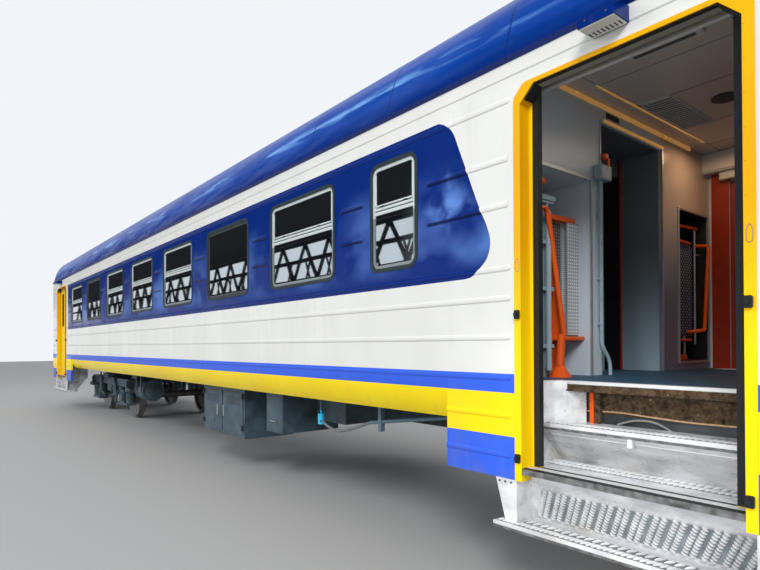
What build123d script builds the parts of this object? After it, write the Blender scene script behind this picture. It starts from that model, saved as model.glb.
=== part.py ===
from build123d import *
import os

os.makedirs("parts", exist_ok=True)

# Driving trailer coach of an electric train, in millimetres
# X runs forward to the driver's cab, Y to the coach's left side, Z up from the wheel flanges

# Main sizes, heights given above the rail and lifted by the flange depth
flange_depth = 28
body_length = 21500
half_width = 1740
floor_z = 1360 + flange_depth
ceiling_z = 3500 + flange_depth
side_bottom_z = 1079 + flange_depth
skirt_bottom_z = 751 + flange_depth
belt_z = 2196 + flange_depth
window_head_z = 3064 + flange_depth
portal_top_z = 3239 + flange_depth
gutter_z = 3414 + flange_depth
roof_top_z = 4260 + flange_depth
sole_z = 1080 + flange_depth

# Walls, sheets and plates
wall = 60
skirt_wall = 40
roof_sheet = 45
floor_plate = 60
lining = 30
tuck_radius = 500
tuck_top_z = 1380 + flange_depth
end_wall = 60
fit = 0.3

# Ends of the body: what stands near an end is placed from that end
nose_x = body_length / 2
rear_x = -body_length / 2
mask_depth = 1000
mask_x = nose_x - mask_depth

# Doorways, by the outer edges of their frames
door_width = 1325
front_door_x = nose_x - 4649.5
rear_door_x = rear_x + 1260
frame_face = 50
frame_proud = 6
frame_depth = 85
frame_chamfer = 100
frame_corner = 120
door_travel = 545
leaf_thick = 40
leaf_gap = 6
leaf_overlap = 14
leaf_window_width = 230
leaf_window_low_z = 2170 + flange_depth
leaf_window_high_z = 3040 + flange_depth
meeting_gap = 2
skirt_reach = 590

# Windows
window_gap = 3
window_radius = 90
wide_window = 1200
narrow_window = 560
window_pitch = 1734
first_wide_x = nose_x - 7905
narrow_x = nose_x - 6490
last_window_room = 1900
wide_count = int((first_wide_x - rear_door_x - last_window_room) / window_pitch) + 1
cab_window = 620
cab_window_x = nose_x - 2170
gasket_lip = 4
gasket_cover = 10
gasket_face = 22
gasket_depth = 34
frame_bar = 26
frame_inset = 6
pane_thick = 6
vent_share = 0.45
fixed_windows = (1, 5)

# Pressed ribs of the outer sheets
rib_proud = 8
rib_half = 20
body_ribs = (1391 + flange_depth, 1647 + flange_depth, 1894 + flange_depth, 2086 + flange_depth)
skirt_ribs = (900 + flange_depth, 1150 + flange_depth)
pier_ribs = (2490 + flange_depth, 2780 + flange_depth)
header_rib = 3147 + flange_depth
rib_end = 48
pier_rib_end = 107

# Bogies and wheels
wheel_radius = 475
wheelbase = 2400
gauge_half = 720
rim_width = 130
journal_y = 1018
pivot_x = (nose_x - 3700, rear_x + 3550)
bogie_names = ("front", "rear")

# Steps, heights of the treads above the rail
step_z = 477 + flange_depth
sill_z = 830 + flange_depth
tread_z = 1092 + flange_depth
nosing_y = 1365
step_depth = 270
step_proud = 30
step_wing = 155
tread_inner_y = 1240
tread_plate = 34
riser_plate = 6
side_plate = 8


def save(piece, name):
    piece.part.label = name
    export_step(piece.part, "parts/" + name + ".step")


# Planes that several pieces share
inner_y = half_width - wall
leaf_width = door_width / 2 - frame_face + leaf_overlap
leaf_y = half_width - frame_depth - leaf_gap - leaf_thick / 2
tread_front_y = leaf_y - leaf_thick / 2 - leaf_gap
lining_y = tread_front_y - leaf_gap
pocket_half = leaf_width + door_travel + leaf_gap


# How far the curved lower wall stands in at a height
def tuck_at(height):
    return tuck_radius - (tuck_radius**2 - max(tuck_top_z - height, 0) ** 2) ** 0.5


# Names and places that several pieces share
rail_half = wheelbase / 2
doors = [
    # name, middle, side of the coach, open at rest
    ("front_right", front_door_x, -1, True),
    ("front_left", front_door_x, 1, False),
    ("rear_right", rear_door_x, -1, False),
    ("rear_left", rear_door_x, 1, False),
]
front_gap = (front_door_x - door_width / 2, front_door_x + door_width / 2)
rear_gap = (rear_door_x - door_width / 2, rear_door_x + door_width / 2)
skirt_runs = [
    # from, to, which of its ends meet a doorway
    (rear_x + end_wall, rear_gap[0], (1,)),
    (rear_gap[1], rear_gap[1] + skirt_reach, (-1,)),
    (front_gap[0] - skirt_reach, front_gap[0], (1,)),
    (front_gap[1], front_gap[1] + skirt_reach, (-1,)),
]
curved_runs = [
    (skirt_runs[1][1], skirt_runs[2][0]),
    (skirt_runs[3][1], mask_x),
]
band_runs = [
    (rear_x + end_wall, rear_gap[0]),
    (rear_gap[1], front_gap[0]),
    (front_gap[1], mask_x),
]
wide_windows = [(first_wide_x - i * window_pitch, wide_window) for i in range(wide_count)]
windows = [(narrow_x, narrow_window)] + wide_windows + [(cab_window_x, cab_window)]
window_height = window_head_z - belt_z
window_mid_z = (window_head_z + belt_z) / 2


# Sections of the pressed ribs on the right side sheet
def rib_sections(levels):
    for level in levels:
        with Locations((-half_width, level)):
            Ellipse(rib_proud, rib_half)


# Lower side walls, curved under between the flat skirts of the doorways
tuck = tuck_at(side_bottom_z)
with BuildPart() as side_lower:
    for low, high in curved_runs:
        with BuildSketch(Plane.YZ.offset(low)):
            with BuildLine():
                Line((-inner_y, belt_z), (-half_width, belt_z))
                Line((-half_width, belt_z), (-half_width, tuck_top_z))
                RadiusArc((-half_width, tuck_top_z), (tuck - half_width, side_bottom_z), -tuck_radius)
                Line((tuck - half_width, side_bottom_z), (tuck - inner_y, side_bottom_z))
                RadiusArc((tuck - inner_y, side_bottom_z), (-inner_y, tuck_top_z), tuck_radius)
                Line((-inner_y, tuck_top_z), (-inner_y, belt_z))
            make_face()
            rib_sections(body_ribs)
        extrude(amount=high - low)
    mirror(about=Plane.XZ)
save(side_lower, "side_lower")

with BuildPart() as door_skirts:
    for low, high, door_ends in skirt_runs:
        with Locations(((low + high) / 2, -half_width, skirt_bottom_z)):
            Box(high - low, skirt_wall, belt_z - skirt_bottom_z,
                align=(Align.CENTER, Align.MIN, Align.MIN))
        rib_low = low + rib_end * (-1 in door_ends)
        rib_high = high - rib_end * (1 in door_ends)
        with BuildSketch(Plane.YZ.offset(rib_low)):
            rib_sections(body_ribs + skirt_ribs)
        extrude(amount=rib_high - rib_low)
    mirror(about=Plane.XZ)
save(door_skirts, "door_skirts")

# Piers between the windows, whose corners follow the rounded window openings
with BuildPart() as window_piers:
    with BuildSketch(Plane.XZ.offset(half_width)):
        for low, high in band_runs:
            with Locations(((low + high) / 2, window_mid_z)):
                Rectangle(high - low, window_height)
        for middle, width in windows:
            with Locations((middle, window_mid_z)):
                RectangleRounded(width, window_height + 2 * window_gap, window_radius,
                                 mode=Mode.SUBTRACT)
    extrude(amount=-wall)
    for run_low, run_high in band_runs:
        inside = sorted((middle - width / 2, middle + width / 2) for middle, width in windows
                        if run_low < middle < run_high)
        edges = [run_low - pier_rib_end + rib_end] + [place for pair in inside for place in pair]
        edges.append(run_high + pier_rib_end - rib_end)
        for low, high in zip(edges[::2], edges[1::2]):
            with BuildSketch(Plane.YZ.offset(low + pier_rib_end)):
                rib_sections(pier_ribs)
            extrude(amount=high - low - 2 * pier_rib_end)
    mirror(about=Plane.XZ)
save(window_piers, "window_piers")

with BuildPart() as window_headers:
    for low, high in band_runs:
        with Locations(((low + high) / 2, -half_width, window_head_z)):
            Box(high - low, wall, portal_top_z - window_head_z,
                align=(Align.CENTER, Align.MIN, Align.MIN))
        with BuildSketch(Plane.YZ.offset(low + rib_end)):
            rib_sections((header_rib,))
        extrude(amount=high - low - 2 * rib_end)
    mirror(about=Plane.XZ)
save(window_headers, "window_headers")

# Cantrails with the gutter outside and the ledge that carries the ceiling
gutter_lip = 30
cornice_groove_z = 3290 + flange_depth
groove_size = 8
ledge_in = 100
ledge_web = 20
ledge_foot = 34
ledge_y = half_width - ledge_in

with BuildPart() as cantrails:
    with BuildSketch(Plane.YZ.offset(rear_x + end_wall)):
        with BuildLine():
            Polyline((-half_width, portal_top_z), (-half_width, cornice_groove_z - groove_size),
                     (groove_size - half_width, cornice_groove_z),
                     (-half_width, cornice_groove_z + groove_size),
                     (-half_width, gutter_z - ledge_foot),
                     (-half_width - gutter_lip, gutter_z - groove_size),
                     (-half_width - gutter_lip, gutter_z), (-ledge_y - ledge_web, gutter_z),
                     (-ledge_y - ledge_web, ceiling_z), (-ledge_y, ceiling_z),
                     (-ledge_y, gutter_z - ledge_foot), (-inner_y, gutter_z - ledge_foot),
                     (-inner_y, portal_top_z), close=True)
        make_face()
    extrude(amount=mask_x - rear_x - end_wall)
    mirror(about=Plane.XZ)
save(cantrails, "cantrails")

# Roof sheets: a crown between two rounded coves
fold_y = half_width - 50
fold_z = 3605 + flange_depth
crown_y = half_width - 440
crown_z = 4060 + flange_depth
cove_mid_y = half_width - 195
cove_mid_z = 3890 + flange_depth
cove_foot_y = half_width - 5
roof_run = mask_x - rear_x - end_wall

with BuildPart() as roof_crown:
    with BuildSketch(Plane.YZ.offset(rear_x + end_wall)):
        with BuildLine():
            ThreePointArc((-crown_y, crown_z), (0, roof_top_z), (crown_y, crown_z))
            Line((crown_y, crown_z), (crown_y, crown_z - roof_sheet))
            ThreePointArc((crown_y, crown_z - roof_sheet), (0, roof_top_z - roof_sheet),
                          (-crown_y, crown_z - roof_sheet))
            Line((-crown_y, crown_z - roof_sheet), (-crown_y, crown_z))
        make_face()
    extrude(amount=roof_run)
save(roof_crown, "roof_crown")

with BuildPart() as roof_coves:
    for side in (-1, 1):
        with BuildSketch(Plane.YZ.offset(rear_x + end_wall)):
            with BuildLine():
                Line((side * cove_foot_y, gutter_z), (side * fold_y, fold_z))
                ThreePointArc((side * fold_y, fold_z), (side * cove_mid_y, cove_mid_z),
                              (side * crown_y, crown_z))
                Line((side * crown_y, crown_z), (side * crown_y, crown_z - roof_sheet))
                ThreePointArc((side * crown_y, crown_z - roof_sheet),
                              (side * (cove_mid_y - roof_sheet), cove_mid_z - roof_sheet / 2),
                              (side * (fold_y - roof_sheet), fold_z))
                Line((side * (fold_y - roof_sheet), fold_z), (side * (cove_foot_y - roof_sheet), gutter_z))
                Line((side * (cove_foot_y - roof_sheet), gutter_z), (side * cove_foot_y, gutter_z))
            make_face()
        extrude(amount=roof_run)
save(roof_coves, "roof_coves")

# Flat ceiling on the cantrail ledges
ceiling_plate = 20
with BuildPart() as ceiling:
    with Locations(((rear_x + end_wall + mask_x) / 2, 0, ceiling_z)):
        Box(mask_x - rear_x - end_wall, 2 * (half_width - ledge_in + ledge_web), ceiling_plate,
            align=(Align.CENTER, Align.CENTER, Align.MIN))
save(ceiling, "ceiling")

# Floor with a notch at each doorway
notch_width = door_width - 2 * side_plate
floor_half = inner_y - tuck_at(floor_z - floor_plate) - fit
with BuildPart() as floor:
    with Locations(((rear_x + end_wall + mask_x) / 2, 0, floor_z)):
        Box(mask_x - rear_x - end_wall, 2 * floor_half, floor_plate,
            align=(Align.CENTER, Align.CENTER, Align.MAX))
    for name, middle, side, is_open in doors:
        for low_y, width in ((nosing_y, door_width), (tread_front_y, 2 * pocket_half)):
            with Locations((middle, side * (low_y + inner_y) / 2, floor_z)):
                Box(width, inner_y - low_y, floor_plate,
                    align=(Align.CENTER, Align.CENTER, Align.MAX), mode=Mode.SUBTRACT)
save(floor, "floor")

# Underframe: longitudinal sills, cross bearers and a bolster over each bogie
sill_y = 1150
sill_width = 150
centre_sill = 400
bearer_width = 120
bearer_reach = inner_y - tuck_at(sole_z) - fit
door_reach = 1270
bolster_width = 500
frame_top_z = floor_z - floor_plate
frame_height = frame_top_z - sole_z
underframe_rear = rear_x + end_wall
underframe_front = mask_x + 450
rear_bearers = (2350, 4950, 6650)
front_bearers = (2150, 6140, 7000, 7980, 9600, 11450, 13150)
bearers = [underframe_rear + bearer_width / 2, underframe_front - bearer_width / 2]
bearers += [rear_x + place for place in rear_bearers] + [nose_x - place for place in front_bearers]
with BuildPart() as underframe:
    with BuildSketch(Plane.XY.offset(sole_z)):
        for place in (-sill_y, 0, sill_y):
            width = sill_width if place else centre_sill
            with Locations(((underframe_rear + underframe_front) / 2, place)):
                Rectangle(underframe_front - underframe_rear, width)
        for middle in bearers:
            with Locations((middle, 0)):
                Rectangle(bearer_width, 2 * bearer_reach)
        for middle in pivot_x:
            with Locations((middle, 0)):
                Rectangle(bolster_width, 2 * door_reach)
    extrude(amount=frame_height)
save(underframe, "underframe")

# Rear end wall with the gangway doorway and the hinge brackets of its door
gangway_width = 760
gangway_top_z = 3330 + flange_depth
gangway_door_thick = 40
end_wall_low_z = sole_z
knuckle_radius = 12
knuckle_height = 80
hinge_x = rear_x + end_wall + leaf_gap + gangway_door_thick
hinge_y = gangway_width / 2 + 2 * leaf_overlap
hinge_levels = (floor_z + 300, floor_z + 1000, floor_z + 1700)
with BuildPart() as rear_end_wall:
    with BuildSketch(Plane.YZ.offset(rear_x)):
        with BuildLine():
            Polyline((-half_width, end_wall_low_z), (half_width, end_wall_low_z),
                     (half_width, gutter_z), (fold_y, fold_z))
            ThreePointArc((fold_y, fold_z), (cove_mid_y, cove_mid_z), (crown_y, crown_z))
            ThreePointArc((crown_y, crown_z), (0, roof_top_z), (-crown_y, crown_z))
            ThreePointArc((-crown_y, crown_z), (-cove_mid_y, cove_mid_z), (-fold_y, fold_z))
            Polyline((-fold_y, fold_z), (-half_width, gutter_z), (-half_width, end_wall_low_z))
        make_face()
        with Locations((0, (floor_z + gangway_top_z) / 2)):
            Rectangle(gangway_width, gangway_top_z - floor_z, mode=Mode.SUBTRACT)
    extrude(amount=end_wall)
    for level in hinge_levels:
        with Locations((hinge_x, hinge_y, level - fit)):
            Box(hinge_x - rear_x - end_wall, 2 * knuckle_radius, knuckle_height / 2,
                align=(Align.MAX, Align.CENTER, Align.MAX))
            Cylinder(knuckle_radius, knuckle_height / 2, align=(Align.CENTER, Align.CENTER, Align.MAX))
save(rear_end_wall, "rear_end_wall")

# Gangway door, hinged on the left edge of its doorway and opening inward
with BuildPart() as gangway_door:
    for level in hinge_levels:
        with Locations((hinge_x, hinge_y, level)):
            Cylinder(knuckle_radius, knuckle_height, align=(Align.CENTER, Align.CENTER, Align.MIN))
            Box(2 * knuckle_radius, hinge_y - gangway_width / 2, knuckle_height,
                align=(Align.MAX, Align.MAX, Align.MIN))
    with BuildSketch(Plane.YZ.offset(rear_x + end_wall + leaf_gap)):
        with Locations((0, (floor_z + gangway_top_z) / 2 + leaf_gap)):
            Rectangle(gangway_width + 2 * leaf_overlap, gangway_top_z - floor_z)
        with Locations((0, window_mid_z)):
            RectangleRounded(gangway_width * 0.55, window_height * 0.8, window_radius / 2,
                             mode=Mode.SUBTRACT)
    extrude(amount=gangway_door_thick)
save(gangway_door, "gangway_door")

# Rubber gangway cushions and the bridge plate outside the rear end wall
cushion = 140
cushion_reach = 330
fold_count = 5
fold_in = 30
with BuildPart() as gangway:
    for index in range(fold_count):
        edge = cushion - fold_in * (index % 2)
        with BuildSketch(Plane.YZ.offset(rear_x - index * cushion_reach / fold_count)):
            with Locations((0, (floor_z + gangway_top_z + edge) / 2)):
                Rectangle(gangway_width + 2 * edge, gangway_top_z + edge - floor_z)
            with Locations((0, (floor_z + gangway_top_z) / 2)):
                Rectangle(gangway_width, gangway_top_z - floor_z, mode=Mode.SUBTRACT)
        extrude(amount=-cushion_reach / fold_count)
save(gangway, "gangway")

bridge_thick = 16
with BuildPart() as bridge_plate:
    with Locations((rear_x, 0, floor_z)):
        Box(cushion_reach, gangway_width + 2 * cushion, bridge_thick,
            align=(Align.MAX, Align.CENTER, Align.MAX))
save(bridge_plate, "bridge_plate")

# Front mask: the body section, its plan and its side view meet in one hollow shell
mask_low_z = 900 + flange_depth
screen_foot_z = belt_z + 34
screen_head_z = portal_top_z + 61
screen_rake = 450
brow_x = nose_x - screen_rake
crown_back = 120
nose_corner = 420
screen_width = 1240
screen_gap = 160
coupler_slot = 460
coupler_slot_z = 1290


def mask_form(inset):
    y0 = half_width - inset
    y1 = fold_y - inset
    y2 = crown_y - inset / 2
    z1 = crown_z - inset
    z2 = roof_top_z - inset
    with BuildPart() as form:
        with BuildSketch(Plane.YZ.offset(mask_x)):
            with BuildLine():
                Polyline((-y0, mask_low_z), (y0, mask_low_z), (y0, gutter_z), (y1, fold_z))
                ThreePointArc((y1, fold_z), (cove_mid_y - inset, cove_mid_z - inset / 2), (y2, z1))
                ThreePointArc((y2, z1), (0, z2), (-y2, z1))
                ThreePointArc((-y2, z1), (-cove_mid_y + inset, cove_mid_z - inset / 2), (-y1, fold_z))
                Polyline((-y1, fold_z), (-y0, gutter_z), (-y0, mask_low_z))
            make_face()
        extrude(amount=nose_x - mask_x)
        with BuildSketch(Plane.XZ.offset(-half_width)):
            with BuildLine():
                Polyline((mask_x, mask_low_z), (nose_x - inset - 60, mask_low_z),
                         (nose_x - inset, mask_low_z + 300), (nose_x - inset, screen_foot_z),
                         (brow_x - inset, screen_head_z), (brow_x - inset - crown_back, z2 - 300),
                         (brow_x - inset - 2 * crown_back, z2 + 1), (mask_x, z2 + 1), close=True)
            make_face()
        extrude(amount=2 * half_width, mode=Mode.INTERSECT)
        with BuildSketch(Plane.XY.offset(mask_low_z)):
            with BuildLine():
                Line((mask_x, -y0), (mask_x, y0))
                Line((mask_x, y0), (nose_x - nose_corner - inset, y0))
                ThreePointArc((nose_x - nose_corner - inset, y0), (nose_x - inset - 150, y0 - 250),
                              (nose_x - inset - 60, y0 - 640))
                ThreePointArc((nose_x - inset - 60, y0 - 640), (nose_x - inset, 0),
                              (nose_x - inset - 60, -y0 + 640))
                ThreePointArc((nose_x - inset - 60, -y0 + 640), (nose_x - inset - 150, -y0 + 250),
                              (nose_x - nose_corner - inset, -y0))
                Line((nose_x - nose_corner - inset, -y0), (mask_x, -y0))
            make_face()
        extrude(amount=roof_top_z, mode=Mode.INTERSECT)
    return form.part


mask_outer = mask_form(0)
mask_inner = mask_form(wall)
screen_mid_z = (screen_foot_z + screen_head_z) / 2
lamp_spots = [
    # across, height, width, tall
    (-1080, 1550 + flange_depth, 380, 190),
    (1080, 1550 + flange_depth, 380, 190),
    (0, screen_head_z + 150, 320, 110),
]
lamp_radius = 50
pane_inset = 18


# Outlines of the two windscreens and of the lamps, seen from ahead
def screen_outlines():
    for side in (-1, 1):
        with Locations((side * (screen_width + screen_gap) / 2, screen_mid_z)):
            RectangleRounded(screen_width, screen_head_z - screen_foot_z - 200, window_radius)


def lamp_outlines():
    for across, height, width, tall in lamp_spots:
        with Locations((across, height)):
            RectangleRounded(width, tall, lamp_radius)


with BuildPart() as cab_front:
    add(mask_outer)
    add(mask_inner, mode=Mode.SUBTRACT)
    with BuildSketch(Plane.YZ.offset(mask_x)):
        screen_outlines()
        with Locations((0, mask_low_z)):
            Rectangle(coupler_slot, 2 * (coupler_slot_z - mask_low_z))
        lamp_outlines()
    extrude(amount=mask_depth, mode=Mode.SUBTRACT)
save(cab_front, "cab_front")

# Windscreens and lamps, set into the openings of the mask
with BuildPart() as cab_glass:
    add(mask_form(pane_inset))
    add(mask_form(pane_inset + 2 * pane_thick), mode=Mode.SUBTRACT)
    with BuildSketch(Plane.YZ.offset(mask_x)):
        screen_outlines()
    extrude(amount=mask_depth, mode=Mode.INTERSECT)
save(cab_glass, "cab_glass")

with BuildPart() as head_lamps:
    add(mask_form(pane_thick))
    add(mask_inner, mode=Mode.SUBTRACT)
    with BuildSketch(Plane.YZ.offset(mask_x)):
        lamp_outlines()
    extrude(amount=mask_depth, mode=Mode.INTERSECT)
save(head_lamps, "head_lamps")

# Plough below the mask, notched for the coupler
plough_low_z = 320 + flange_depth
plough_back = 90
plough_plate = 25
plough_half = 1090
with BuildPart() as plough:
    with BuildSketch(Plane.YZ.offset(nose_x - plough_back)):
        with BuildLine():
            Polyline((-plough_half, mask_low_z), (-plough_half + 120, plough_low_z),
                     (plough_half - 120, plough_low_z), (plough_half, mask_low_z),
                     (coupler_slot / 2, mask_low_z), (coupler_slot / 2, mask_low_z - 120),
                     (-coupler_slot / 2, mask_low_z - 120), (-coupler_slot / 2, mask_low_z), close=True)
        make_face()
    extrude(amount=-plough_plate)
save(plough, "plough")

# Doorway frames: posts, and heads with chamfered corners
frame_out = half_width + frame_proud
head_low_z = portal_top_z - frame_chamfer - frame_face
door_places = (front_door_x, rear_door_x)
with BuildPart() as door_posts:
    for middle in door_places:
        for end in (-1, 1):
            place = middle + end * (door_width - frame_face) / 2
            with Locations((place, -frame_out, skirt_bottom_z)):
                Box(frame_face, frame_depth + frame_proud, head_low_z - skirt_bottom_z,
                    align=(Align.CENTER, Align.MIN, Align.MIN))
    mirror(about=Plane.XZ)
save(door_posts, "door_posts")


# Half width of a doorway head's inner edge and of its flange
head_inner = door_width / 2 - frame_face
head_outer = door_width / 2


def head_outline(middle, corner):
    Polyline((middle - head_inner, head_low_z), (middle - head_outer, head_low_z),
             (middle - head_outer, portal_top_z - corner),
             (middle - head_outer + corner, portal_top_z),
             (middle + head_outer - corner, portal_top_z),
             (middle + head_outer, portal_top_z - corner),
             (middle + head_outer, head_low_z), (middle + head_inner, head_low_z),
             (middle + head_inner - frame_chamfer, portal_top_z - frame_face),
             (middle - head_inner + frame_chamfer, portal_top_z - frame_face), close=True)


with BuildPart() as door_heads:
    for middle in door_places:
        with BuildSketch(Plane.XZ.offset(half_width)):
            with BuildLine():
                head_outline(middle, fit)
            make_face()
        extrude(amount=-frame_depth)
        with BuildSketch(Plane.XZ.offset(half_width)):
            with BuildLine():
                head_outline(middle, frame_corner)
            make_face()
        extrude(amount=frame_proud)
    mirror(about=Plane.XZ)
save(door_heads, "door_heads")

# A lamp box over each doorway, on a plate against the cantrail
lamp_box = (210, 150, 85)
lamp_gap = 8
lamp_box_z = gutter_z - ledge_foot - lamp_gap - lamp_box[2]
lamp_shift = -17
with BuildPart() as door_lamps:
    for middle in door_places:
        with BuildSketch(Plane.YZ.offset(middle + lamp_shift - lamp_box[0] / 2)):
            with BuildLine():
                Polyline((-half_width, lamp_box_z), (-half_width - lamp_box[1], lamp_box_z),
                         (-half_width - lamp_box[1], lamp_box_z + lamp_box[2] / 2),
                         (-half_width - lamp_box[1] / 3, lamp_box_z + lamp_box[2]),
                         (-half_width, lamp_box_z + lamp_box[2]), close=True)
            make_face()
        extrude(amount=lamp_box[0])
    mirror(about=Plane.XZ)
save(door_lamps, "door_lamps")

# Door leaves in pairs, hung behind the frames
leaf_low_z = sill_z + leaf_gap
leaf_high_z = portal_top_z - fit
for name, middle, side, is_open in doors:
    for end, label in ((-1, "aft"), (1, "fore")):
        shift = end * door_travel if is_open else 0
        place = middle + end * (leaf_width + meeting_gap) / 2 + shift
        with BuildPart() as leaf:
            with BuildSketch(Plane.XZ.offset(-side * (leaf_y + leaf_thick / 2))):
                with Locations((place, (leaf_low_z + leaf_high_z) / 2)):
                    Rectangle(leaf_width, leaf_high_z - leaf_low_z)
                with Locations((place, (leaf_window_low_z + leaf_window_high_z) / 2)):
                    RectangleRounded(leaf_window_width, leaf_window_high_z - leaf_window_low_z,
                                     window_radius / 2, mode=Mode.SUBTRACT)
            extrude(amount=side * leaf_thick)
        save(leaf, "door_leaf_" + name + "_" + label)

# Steps of each doorway: outer step, door sill, inner treads and the risers that lean between them
step_front_y = half_width + step_proud
step_back_y = step_front_y - step_depth
post_back_y = half_width - frame_depth
upper_tread_y = tread_front_y - 2 * frame_face
sill_width_x = door_width - 2 * frame_face
risers = [
    # foot across, foot height, top across, top height
    (step_back_y, step_z, post_back_y - riser_plate, sill_z - tread_plate),
    (tread_inner_y, sill_z, upper_tread_y - riser_plate, tread_z - tread_plate),
]
with BuildPart() as step_treads:
    for middle in door_places:
        for top, outer_y, inner_end, width in (
            (step_z, step_front_y, step_back_y, door_width + 2 * step_wing),
            (sill_z, half_width, post_back_y, sill_width_x),
            (sill_z, post_back_y, tread_inner_y, notch_width),
            (tread_z, upper_tread_y, tread_inner_y, notch_width),
        ):
            with Locations((middle, -outer_y, top)):
                Box(width, outer_y - inner_end, tread_plate, align=(Align.CENTER, Align.MIN, Align.MAX))
        for foot_y, foot_z, top_y, top_z in risers:
            with BuildSketch(Plane.YZ.offset(middle - notch_width / 2)):
                with BuildLine():
                    Polyline((-foot_y - riser_plate, foot_z), (-top_y - riser_plate, top_z),
                             (-top_y, top_z), (-foot_y, foot_z), close=True)
                make_face()
            extrude(amount=notch_width)
    mirror(about=Plane.XZ)
save(step_treads, "step_treads")

# Plates at both sides of the steps, with a flange that hangs the outer step from the skirt
with BuildPart() as step_side_plates:
    for middle in door_places:
        for end in (-1, 1):
            place = middle + end * (door_width - side_plate) / 2
            with BuildSketch(Plane.YZ.offset(place - side_plate / 2)):
                with BuildLine():
                    Polyline((-half_width, step_z), (-half_width, skirt_bottom_z),
                             (-post_back_y, skirt_bottom_z), (-post_back_y, sill_z),
                             (-tread_front_y, sill_z), (-tread_front_y, floor_z - floor_plate),
                             (-tread_inner_y, floor_z - floor_plate),
                             (-tread_inner_y, sill_z - tread_plate), (-step_back_y, step_z), close=True)
                make_face()
            extrude(amount=side_plate)
            edge = middle + end * door_width / 2
            with BuildSketch(Plane.XZ.offset(half_width)):
                with BuildLine():
                    Polyline((edge, step_z), (edge, skirt_bottom_z),
                             (edge + end * step_wing, skirt_bottom_z),
                             (edge + end * step_wing / 2, step_z), close=True)
                make_face()
            extrude(amount=-side_plate)
    mirror(about=Plane.XZ)
save(step_side_plates, "step_side_plates")

# Window gaskets, frames with their vent rails, and panes
def window_ring(width, height, radius, edge):
    RectangleRounded(width, height, radius)
    RectangleRounded(width - 2 * edge, height - 2 * edge, radius - edge, mode=Mode.SUBTRACT)


with BuildPart() as window_gaskets:
    for middle, width in windows:
        with BuildSketch(Plane.XZ.offset(half_width)):
            with Locations((middle, window_mid_z)):
                window_ring(width + 2 * gasket_cover, window_height + 2 * gasket_cover,
                            window_radius + gasket_cover, gasket_cover + gasket_face)
        extrude(amount=gasket_lip)
        with BuildSketch(Plane.XZ.offset(half_width)):
            with Locations((middle, window_mid_z)):
                window_ring(width, window_height, window_radius, gasket_face)
        extrude(amount=-gasket_depth)
    mirror(about=Plane.XZ)
save(window_gaskets, "window_gaskets")

inner_height = window_height - 2 * gasket_face
inner_radius = window_radius - gasket_face
vent_z = window_head_z - gasket_face - vent_share * inner_height
with BuildPart() as window_frames:
    for index, (middle, width) in enumerate(windows):
        inner_width = width - 2 * gasket_face
        with BuildSketch(Plane.XZ.offset(half_width - frame_inset)):
            with Locations((middle, window_mid_z)):
                window_ring(inner_width, inner_height, inner_radius, frame_bar)
            if index - 1 not in fixed_windows:
                with Locations((middle, vent_z)):
                    Rectangle(inner_width - frame_bar, frame_bar)
        extrude(amount=frame_inset - gasket_depth)
    mirror(about=Plane.XZ)
save(window_frames, "window_frames")

pane_low = belt_z + gasket_face + frame_bar
pane_high = window_head_z - gasket_face - frame_bar
with BuildPart() as window_glass:
    for index, (middle, width) in enumerate(windows):
        pane_width = width - 2 * gasket_face - 2 * frame_bar
        with BuildSketch(Plane.XZ.offset(half_width - 2 * frame_inset)):
            with Locations((middle, (pane_low + pane_high) / 2)):
                RectangleRounded(pane_width, pane_high - pane_low, inner_radius - frame_bar)
            if index - 1 not in fixed_windows:
                with Locations((middle, vent_z)):
                    Rectangle(pane_width, frame_bar, mode=Mode.SUBTRACT)
        extrude(amount=-pane_thick)
    mirror(about=Plane.XZ)
save(window_glass, "window_glass")

# Linings between the pockets of the door leaves and the rooms, and the rails that carry the leaves
lining_sheet = 20
rail_height = 60
with BuildPart() as pocket_linings:
    for middle in door_places:
        for end in (-1, 1):
            near = door_width / 2 - frame_face
            far = min(pocket_half, rear_door_x - rear_x - end_wall)
            with Locations((middle + end * (near + far) / 2, -lining_y, floor_z)):
                Box(far - near, lining_sheet, ceiling_z - floor_z,
                    align=(Align.CENTER, Align.MIN, Align.MIN))
    mirror(about=Plane.XZ)
save(pocket_linings, "pocket_linings")

with BuildPart() as door_rails:
    for middle in door_places:
        with Locations((middle, -inner_y, portal_top_z)):
            Box(2 * pocket_half - 2 * leaf_gap, inner_y - leaf_y + leaf_thick / 2, rail_height,
                align=(Align.CENTER, Align.MIN, Align.MIN))
    mirror(about=Plane.XZ)
save(door_rails, "door_rails")

# Partitions: front vestibule to saloon, cab bulkhead, rear vestibule to saloon
partition_x = nose_x - 5490
passage_low_y = -470
passage_high_y = 570
passage_top_z = 3355 + flange_depth
bulkhead_x = nose_x - 3440
cab_door_top_z = 3300 + flange_depth
cab_door_half = 350
rear_partition_x = rear_x + 2150
rear_passage_half = 450
room_height = ceiling_z - floor_z
room_half = lining_y - lining_sheet
recess_shell = 12
recess_edge_y = -620
recess_top_z = 2860 + flange_depth
recess_depth = 550
niche_low_y = 890
niche_low_z = 1430 + flange_depth
niche_top_z = 2880 + flange_depth
niche_depth = 420
niche_width = room_half - niche_low_y
niche_height = niche_top_z - niche_low_z
niche_leg_y = niche_low_y + niche_width / 2


def partition(place, low_y, high_y, top_z):
    with BuildPart() as plate:
        with BuildSketch(Plane.YZ.offset(place)):
            with Locations((0, floor_z + room_height / 2)):
                Rectangle(2 * room_half, room_height)
            with Locations(((low_y + high_y) / 2, (floor_z + top_z) / 2)):
                Rectangle(high_y - low_y, top_z - floor_z, mode=Mode.SUBTRACT)
        extrude(amount=lining)
    return plate


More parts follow.
